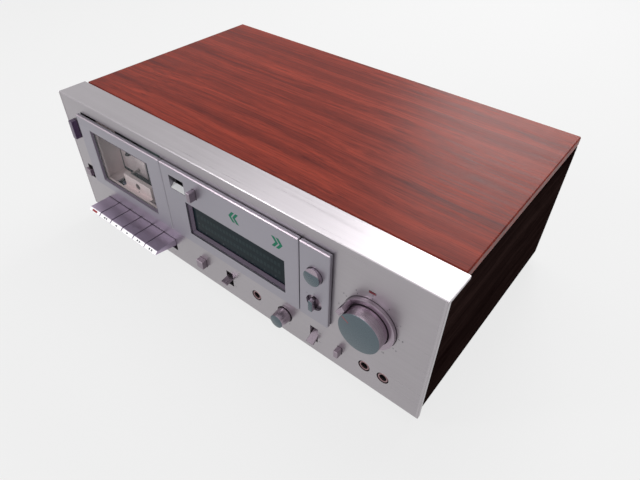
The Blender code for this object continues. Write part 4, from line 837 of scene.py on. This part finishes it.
class DECK_OT_drive(DeckStep, bpy.types.Operator):
    """Reel spindles, capstans, rollers, tape head and the parts behind them"""
    bl_idname = "deck.drive"
    bl_label = "Cassette drive"

    def make(self, finish, sizes):
        # The plate's dark teal is painted shade
        dress(finish["plate"], "mechanism_plate")
        dress(finish["steel"], "head_carriage", "drive_motor", "key_shaft")
        dress(finish["head"], "tape_head")
        dress(finish["flywheel"], "capstan_left", "capstan_right")
        dress(finish["brass"], "motor_pulley")
        dress(finish["rubber"], "drive_belt")
        low, high = reach("mechanism_plate")
        corners = [(low.x + 6, 118), (high.x - 6, 118), (low.x + 6, 34), (high.x - 6, 34)]
        screws = turned_copy("plate_screws", screw_head(2.2, (0, -1, 0)),
                             [place(x, 26.5, z) for x, z in corners], finish["bright_steel"])
        show("plate_screws", screws, finish["bright_steel"], "chassis")
        shaft = centre("capstan_left")
        plate = bmesh.new()
        add_block(plate, (42.5, 25.4, 55.8), (84.0, 26.45, 78.2))
        soften(plate, 0.3 * MM)
        hole = lathe([(0, 24), (2.2, 24), (2.2, 28), (0, 28)], shaft.x, shaft.z, 32)
        cover = drilled("drive_cover", plate, hole)
        show("drive_cover", cover, finish["cover"], "chassis")
        for hand in ("left", "right"):
            self.spindle(finish, sizes, hand)
            low, high = reach(f"pinch_roller_{hand}")
            hub = centre(f"pinch_roller_{hand}")
            outline = [(1.8, low.y), (5.6, low.y), (6.0, low.y + 0.4), (6.0, high.y - 0.4), (5.6, high.y),
                       (1.8, high.y)]
            show(f"roller_{hand}", lathe(outline, hub.x, hub.z, 64, closed=True), finish["rubber"],
                 f"pinch_roller_{hand}", (f"pinch_roller_{hand}",))
        low, high = reach("tape_head")
        middle = (low.x + high.x) / 2
        gaps = bmesh.new()
        for x in (middle - 1.6, middle + 1.6):
            add_block(gaps, (x - 0.15, low.y + 1, high.z), (x + 0.15, high.y - 1, high.z + INK))
        show("head_gaps", gaps, finish["black"], "head_carriage")

    def spindle(self, finish, sizes, hand):
        """A reel spindle with its table and driving ribs."""
        name = f"reel_spindle_{hand}"
        hub = centre(name)
        outline = [(0, 13.0), (1.1, 13.0), (1.7, 14.0), (1.9, 15.0), (1.9, 23.0), (3.6, 23.4), (3.8, 24.2),
                   (8.6, 24.2), (9.0, 24.5), (9.0, 26.2), (2.0, 26.2), (2.0, 31.5), (0, 31.5)]
        show(f"spindle_{hand}", lathe(outline, hub.x, hub.z, 64), finish["black"], name,
             (name,))
        ribs = ring_of_blocks("ribs", place(hub.x, 19.0, hub.z), finish["black"], Count=sizes.spindle_ribs,
                              Radius=2.15 * MM, Start=0.0, Step=2 * math.pi / sizes.spindle_ribs,
                              Block=(0.8 * MM, 7.6 * MM, 1.0 * MM))
        show(f"spindle_ribs_{hand}", ribs, finish["black"], name)


class DECK_OT_keys(DeckStep, bpy.types.Operator):
    """Six wedge-shaped keys; their lips carry a painted highlight"""
    bl_idname = "deck.keys"
    bl_label = "Piano keys"

    def make(self, finish, sizes):
        symbols = self.symbols()
        for number in range(1, 7):
            name = f"key_{number}"
            low, high = reach(name)
            profile = [(-23, 26.8), (LIP_FOOT_Y, LIP_FOOT_Z), (0, 19.1), (SHAFT_Y, 16.8), (17.2, 16.8),
                       (17.2, 23.2), (SHAFT_Y, 23.2), (4.4, 23.5), (0.4, 26.8)]
            solid = along_x(profile, low.x + sizes.key_gap / MM, high.x - sizes.key_gap / MM)
            soften(solid, 0.3 * MM, 1, 25)
            turns = [2 * math.pi * step / 24 for step in range(24)]
            bore = [(SHAFT_Y + SHAFT_HOLE * math.cos(turn), SHAFT_Z + SHAFT_HOLE * math.sin(turn))
                    for turn in turns]
            key = drilled(name, solid, along_x(bore, low.x - 1, high.x + 1))
            show(f"{name}_lever", key, finish["keys"], name, (name,), 18)
            left, right = low.x + 0.6, high.x - 0.6
            # The lip plate's bright metal is a painted highlight
            lip = self.on_lip([(left, 0.4), (right, 0.4), (right, 4.3), (left, 4.3)], 0.02)
            show(f"{name}_lip", lip, finish["key_lip"], name)
            middle = (low.x + high.x) / 2
            ink = "red_ink" if number == 1 else "grey_ink"
            marks = merged([self.on_lip([(middle + across, up) for across, up in outline], 0.05)
                            for outline in symbols[number - 1]])
            show(f"{name}_mark", marks, finish[ink], name)

    def symbols(self):
        """Outlines on each lip, in millimetres across it and up its slope."""
        def bar(left, right, low=1.2, high=3.4):
            return [(left, low), (right, low), (right, high), (left, high)]

        def arrow(tip, step):
            return [(tip, 2.3), (tip + step * 3.0, 1.0), (tip + step * 3.0, 3.6)]

        return [[bar(-4.2, 4.2)], [arrow(-3.4, 1), arrow(0.0, 1)], [arrow(-1.6, 1)],
                [arrow(1.6, -1)], [arrow(0.0, -1), arrow(3.4, -1)], [bar(-2.8, -0.7), bar(0.7, 2.8)]]

    def on_lip(self, outline, lift):
        """A thin plate on the sloping front lip, from its lower edge upwards."""
        slope = Vector((0, 1, 1)).normalized()
        out = Vector((0, -1, 1)).normalized()

        def spots(across, up):
            foot = Vector((across, LIP_FOOT_Y, LIP_FOOT_Z)) + slope * up
            return place(*(foot - out * 0.02)), place(*(foot + out * lift))

        return prism(outline, spots)


class DECK_OT_knobs(DeckStep, bpy.types.Operator):
    """Level control with its outer ring, output knob, round button and selector"""
    bl_idname = "deck.knobs"
    bl_label = "Knobs"

    def make(self, finish, sizes):
        edge = sizes.soft_edge
        self.level(finish, edge)
        hub = centre("output_knob")
        metal = self.metal("turned_output_knob", 0.30, hub, OUTPUT_FRONT)
        knob = lathe([(0, OUTPUT_FRONT), (6.75, OUTPUT_FRONT), (7.7, 1.9), (3, 1.9), (3, 14), (0, 14)],
                     hub.x, hub.z)
        soften(knob, edge)
        show("output_knob_cap", knob, metal, "output_knob", ("output_knob",))
        hub = centre("round_button")
        metal = self.metal("turned_round_button", 0.26, hub, ROUND_FRONT)
        button = lathe([(0, ROUND_FRONT), (7.7, ROUND_FRONT), (7.7, -2.6), (3.6, -2.6), (3.6, 8), (0, 8)],
                       hub.x, hub.z)
        soften(button, edge)
        slope = [(-9.7, hub.z + 2.2), (-5.7, hub.z + 8.7), (-9.7, hub.z + 8.7)]
        facet = along_x(slope, hub.x - 9, hub.x + 9)
        show("round_button_cap", drilled("round_button_cap", button, facet), metal, "round_button",
             ("round_button",))
        hub = centre("selector_knob")
        metal = self.metal("turned_selector", 0.30, hub, SELECTOR_FRONT)
        disc = lathe([(0, -2.0), (7.5, -2.0), (7.5, -0.4), (3.6, -0.4), (3.6, 8), (0, 8)], hub.x, hub.z)
        soften(disc, edge / 2)
        show("selector_disc", disc, metal, "selector_knob", ("selector_knob",))
        bar = bmesh.new()
        add_block(bar, (hub.x - 2.05, SELECTOR_FRONT, hub.z - 5.5), (hub.x + 2.05, -1.99, hub.z + 5.5))
        soften(bar, edge * 1.3, 3)
        show("selector_bar", bar, metal, "selector_knob")

    def metal(self, name, roughness, hub, front):
        """Turned aluminium round a hub, with the controls' tone, and on the front face a darker tone that is a
        painted reflection.
        """
        chosen = bpy.context.scene.deck_finishes
        return turned_metal(name, tuple(chosen.control), tuple(chosen.faces), roughness,
                            place(hub.x, 0, hub.z), place(0, front, 0).y)

    def level(self, finish, edge):
        """The level knob with its pointer, and the outer ring with its finger lug."""
        hub = centre("level_knob")
        metal = self.metal("turned_level_control", 0.30, hub, LEVEL_FRONT)
        knob = lathe([(0, LEVEL_FRONT), (18.4, LEVEL_FRONT), (18.4, -0.4), (3, -0.4), (3, 14), (0, 14)],
                     hub.x, hub.z, 160)
        soften(knob, edge * 1.4, 3)
        show("level_knob_cap", knob, metal, "level_knob", ("level_knob",))
        turn = math.radians(149)
        out = Vector((math.cos(turn), 0, math.sin(turn)))
        across = Vector((-out.z, 0, out.x))
        line = [(10.8, -0.3), (17.7, -0.3), (17.7, 0.3), (10.8, 0.3)]

        def on_face(radius, aside):
            spot = hub + out * radius + across * aside
            return place(spot.x, LEVEL_FRONT - INK, spot.z), place(spot.x, LEVEL_FRONT, spot.z)

        show("level_pointer", prism(line, on_face), finish["red_ink"], "level_knob")
        ring = lathe([(19.0, -3.5), (23.6, -3.5), (23.6, 1.6), (6, 1.6), (6, 12), (3.3, 12), (3.3, 0.2),
                      (19.0, 0.2)], hub.x, hub.z, 160, closed=True)
        soften(ring, edge, 2, 60)
        show("level_ring_band", ring, metal, "level_ring", ("level_ring",))
        half = math.asin(4.75 / 21.3)
        turns = [turn + half * (step / 6 - 1) for step in range(13)]
        outline = ([(hub.x + 19.1 * math.cos(t), hub.z + 19.1 * math.sin(t)) for t in turns]
                   + [(hub.x + 23.5 * math.cos(t), hub.z + 23.5 * math.sin(t)) for t in reversed(turns)])
        lug = along_y(outline, -14, -3.45)
        soften(lug, edge * 1.4, 3, 50)
        show("level_ring_lug", lug, metal, "level_ring")


class DECK_OT_switches(DeckStep, bpy.types.Operator):
    """Push-buttons, sliding switch and tipping levers"""
    bl_idname = "deck.switches"
    bl_label = "Switches"

    def make(self, finish, sizes):
        dress(finish["power"], "power_button")
        low, high = reach("timer_switch")
        cover = bmesh.new()
        add_block(cover, (low.x + 0.1, 4.35, low.z - 8), (high.x - 0.1, 4.85, high.z + 8))
        show("timer_cover", cover, finish["square"], "timer_switch")
        # The buttons' darker metal is painted shade
        dress(finish["square"], "timer_switch", "square_button", "small_button", "counter_reset_button",
              "lever_left", "lever_right")


class DECK_OT_sockets(DeckStep, bpy.types.Operator):
    """Plated rims of the front sockets, the rear terminals and the cord's gland"""
    bl_idname = "deck.sockets"
    bl_label = "Sockets"

    def make(self, finish, sizes):
        dress(finish["black"], "headphone_jack", "mic_jack_left", "mic_jack_right", "terminal_block")
        for name in ("headphone_jack", "mic_jack_left", "mic_jack_right"):
            hub = centre(name)
            rim = lathe([(3.3, 1.18), (3.45, 0.45), (3.9, 0.25), (4.5, 0.35), (5.0, 1.18)], hub.x, hub.z, 64,
                        closed=True)
            show(f"{name}_rim", rim, finish["rim"], "chassis")
        self.terminals(finish)
        low, high = reach("cord_gland")
        hub = centre("cord_gland")
        outline = [(3.3, low.y), (5.7, low.y), (5.7, high.y - 2.4), (8.4, high.y - 2.0), (8.4, high.y - 0.9),
                   (7.6, high.y - 0.1), (4.2, high.y), (3.3, high.y - 0.5)]
        gland = lathe(outline, hub.x, hub.z, 64, closed=True)
        show("gland_sleeve", gland, finish["rubber"], "chassis", ("cord_gland",))

    def terminals(self, finish):
        """White and red collars on the rear line sockets."""
        low, high = reach("terminal_block")
        middle = (low + high) / 2
        for side, ink in ((-1, "white_ink"), (1, "red_ink")):
            collars = []
            for up in (-1, 1):
                collars.append(lathe([(2.3, high.y - 0.02), (4.1, high.y - 0.02), (4.1, high.y + 0.3),
                                      (2.3, high.y + 0.3)], middle.x + side * 10, middle.z + up * 8, 40,
                                     closed=True))
            show("terminal_faces_left" if side < 0 else "terminal_faces_right", merged(collars), finish[ink],
                 "chassis")


class DECK_OT_counter(DeckStep, bpy.types.Operator):
    """Tape counter: a dark housing and three wheels with their figures"""
    bl_idname = "deck.counter"
    bl_label = "Tape counter"

    def make(self, finish, sizes):
        dress(finish["black"], "counter_housing", "counter_wheel_1", "counter_wheel_2", "counter_wheel_3")
        low, high = reach("counter_housing")
        # White sloping sill in the well below the counter: a painted highlight
        sill = along_x([(-4.35, low.z), (-0.02, low.z), (-0.02, low.z + 3.6)], low.x - 0.3, high.x + 0.3)
        show("counter_sill", sill, finish["sill"], "chassis")
        for number in (1, 2, 3):
            name = f"counter_wheel_{number}"
            low, high = reach(name)
            hub = (low + high) / 2
            radius = (high.z - low.z) / 2
            figures = []
            for figure in range(10):
                drawn = lettering(str(figure), 3.0, hub.x, hub.y - radius - INK / 2, hub.z)
                middle = place(*hub)
                turn = Matrix.Rotation(math.radians(-36 * figure), 4, "X")
                bmesh.ops.transform(drawn, verts=drawn.verts, matrix=Matrix.Translation(middle) @ turn
                                    @ Matrix.Translation(-middle))
                figures.append(drawn)
            show(f"{name}_figures", merged(figures), finish["white_ink"], name)


class DECK_OT_meter(DeckStep, bpy.types.Operator):
    """Level meter: sloping dark frame, smoked glass and unlit bars"""
    bl_idname = "deck.meter"
    bl_label = "Level meter"

    def make(self, finish, sizes):
        dress(finish["display"], "meter_display")
        low, high = reach("meter_bezel")
        frame_bm = mitred(low.x, low.z, high.x, high.z,
                          [(0, high.y), (0, low.y), (0.7, low.y), (3.2, high.y - 0.5), (3.2, high.y)])
        show("meter_frame", frame_bm, finish["well"], "chassis", ("meter_bezel",))
        glass = reach("meter_display")[0].y
        left, right = low.x + 12, high.x - 8
        pitch = (right - left) / sizes.meter_bars
        middle = (low.z + high.z) / 2
        rows = grown("bars", "rows", {
            "Columns": sizes.meter_bars, "Rows": 2, "Across": (pitch * MM, 0, 0), "Up": (0, 0, 9 * MM),
            "Block": (pitch * 0.72 * MM, INK * MM, 4.2 * MM)}, finish["bars"])
        rows.transform(Matrix.Translation(place(left + pitch / 2, glass - INK / 2, middle - 4.5)))
        show("meter_bars", rows, finish["bars"], "chassis")
        figures = [lettering(text, 2.2, low.x + 8.5, glass - INK / 2, middle + up)
                   for text, up in (("L", 4.5), ("R", -4.5))]
        for text, share in (("-20", 0.05), ("-10", 0.28), ("-5", 0.46), ("0", 0.66), ("+3", 0.80),
                            ("+6", 0.93)):
            across = left + (right - left) * share
            figures.append(lettering(text, 2.0, across, glass - INK / 2, middle - 11.6))
        show("meter_figures", merged(figures), finish["faint"], "chassis")


class DECK_OT_inside(DeckStep, bpy.types.Operator):
    """Circuit board and transformer"""
    bl_idname = "deck.inside"
    bl_label = "Inside"

    def make(self, finish, sizes):
        dress(finish["board"], "main_circuit_board")
        dress(finish["core"], "transformer")


def area_light(name, spot, aim, size, power):
    """A soft white rectangular light, in the frame's metres."""
    lamp = bpy.data.lights.new(name, "AREA")
    lamp.shape = "RECTANGLE"
    lamp.size, lamp.size_y = size
    lamp.energy = power
    thing = bpy.data.objects.new(name, lamp)
    bpy.context.scene.collection.objects.link(thing)
    thing.location = spot
    thing.rotation_euler = (Vector(aim) - Vector(spot)).to_track_quat("-Z", "Y").to_euler()


class DECK_OT_studio(bpy.types.Operator):
    """Pale floor and backdrop, soft lights and the camera at the photograph's view"""
    bl_idname = "deck.studio"
    bl_label = "Studio"

    def execute(self, context):
        studio = context.scene.deck_studio
        pale = tuple(studio.backdrop)
        context.scene.view_settings.view_transform = "Standard"
        self.surroundings(context, pale, studio.fill)
        self.floor(pale)
        for name, spot, aim, size, share in (
                ("overhead_light", (-0.15, 0.55, 1.35), (0, 0, 0.05), (1.3, 0.8), 1.0),
                ("front_light", (0.30, -1.30, 0.95), (0.1, 0, 0.06), (0.9, 0.6), 0.45),
                ("edge_light", (-0.90, -1.20, 1.10), (-0.05, 0, 0.08), (0.35, 0.35), 0.5),
                ("sheen_light", (-0.20, 1.35, 0.98), (0.15, 0.05, 0.15), (0.6, 0.5), 1.2)):
            area_light(name, spot, aim, size, studio.key_power * share)
        self.camera(context)
        return {"FINISHED"}

    def pale_rays(self, tree):
        """1 for the rays that should see the plain backdrop."""
        path = add_node(tree, "ShaderNodeLightPath")
        direct = maths(tree, "MAXIMUM", path.outputs["Is Camera Ray"], path.outputs["Is Glossy Ray"])
        return maths(tree, "MAXIMUM", direct, path.outputs["Is Transmission Ray"])

    def surroundings(self, context, pale, fill):
        """The plain backdrop, and an even light all round."""
        world = bpy.data.worlds.new("studio")
        context.scene.world = world
        world.use_nodes = True
        tree = world.node_tree
        tree.nodes.clear()
        seen = add_node(tree, "ShaderNodeBackground", {"Color": (*pale, 1), "Strength": 1.0})
        lit = add_node(tree, "ShaderNodeBackground", {"Color": (1, 1, 1, 1), "Strength": fill})
        mix = add_node(tree, "ShaderNodeMixShader", {
            0: self.pale_rays(tree), 1: lit.outputs[0], 2: seen.outputs[0]})
        ending = tree.nodes.new("ShaderNodeOutputWorld")
        tree.links.new(mix.outputs[0], ending.inputs[0])

    def floor(self, pale):
        """A wide floor that renders as the backdrop and keeps a soft shadow."""
        finish, tree, shader = new_finish("pale_floor")
        shader.inputs["Base Color"].default_value = (*pale, 1)
        shader.inputs["Roughness"].default_value = 0.9
        glow = add_node(tree, "ShaderNodeEmission", {"Color": (*pale, 1), "Strength": 1.0})
        share = maths(tree, "MULTIPLY", self.pale_rays(tree), 0.86)
        mix = add_node(tree, "ShaderNodeMixShader", {0: share, 1: shader.outputs[0], 2: glow.outputs[0]})
        tree.links.new(mix.outputs[0], tree.nodes["Material Output"].inputs["Surface"])
        bm = bmesh.new()
        bmesh.ops.create_grid(bm, x_segments=1, y_segments=1, size=6)
        mesh = as_mesh("floor", bm)
        mesh.materials.append(finish)
        thing = bpy.data.objects.new("floor", mesh)
        bpy.context.scene.collection.objects.link(thing)

    def camera(self, context):
        """The camera at the photograph's view."""
        lens = bpy.data.cameras.new("camera")
        lens.sensor_fit = "HORIZONTAL"
        lens.sensor_width = 36
        lens.lens = LENS
        lens.clip_start = 0.01
        eye = bpy.data.objects.new("camera", lens)
        context.scene.collection.objects.link(eye)
        forward = Vector(CAMERA_FORWARD).normalized()
        right = Vector(CAMERA_RIGHT)
        right = (right - forward * right.dot(forward)).normalized()
        up = (-forward).cross(right)
        turn = Matrix((right, up, -forward)).transposed().to_4x4()
        eye.matrix_world = Matrix.Translation(place(*CAMERA_SPOT)) @ turn
        context.scene.camera = eye


STEPS = (DECK_OT_panel, DECK_OT_cabinet, DECK_OT_door, DECK_OT_drive, DECK_OT_keys, DECK_OT_knobs,
         DECK_OT_switches, DECK_OT_sockets, DECK_OT_counter, DECK_OT_meter, DECK_OT_inside, DECK_OT_studio)
GROUPS = (("deck_finishes", DeckFinishes), ("deck_details", DeckDetails), ("deck_studio", DeckStudio))


class DECK_PT_sidebar(bpy.types.Panel):
    """Sizes, colours and steps of the deck"""
    bl_idname = "DECK_PT_sidebar"
    bl_label = "Cassette deck"
    bl_space_type = "VIEW_3D"
    bl_region_type = "UI"
    bl_category = "Deck"

    def draw(self, context):
        column = self.layout.column()
        for attribute, group in GROUPS:
            for key in group.__annotations__:
                column.prop(getattr(context.scene, attribute), key)
        for step in STEPS:
            column.operator(step.bl_idname)


def register():
    for attribute, group in GROUPS:
        bpy.utils.register_class(group)
        setattr(bpy.types.Scene, attribute, PointerProperty(type=group))
    for step in STEPS:
        bpy.utils.register_class(step)
    bpy.utils.register_class(DECK_PT_sidebar)


def unregister():
    bpy.utils.unregister_class(DECK_PT_sidebar)
    for step in reversed(STEPS):
        bpy.utils.unregister_class(step)
    for attribute, group in reversed(GROUPS):
        delattr(bpy.types.Scene, attribute)
        bpy.utils.unregister_class(group)


def corners(box):
    """A box's two corners as plain lists."""
    return [list(corner) for corner in box]


def main():
    """Builds the deck and its studio."""
    register()
    for step in STEPS:
        family, action = step.bl_idname.split(".")
        getattr(getattr(bpy.ops, family), action)()


if __name__ == "__main__":
    main()
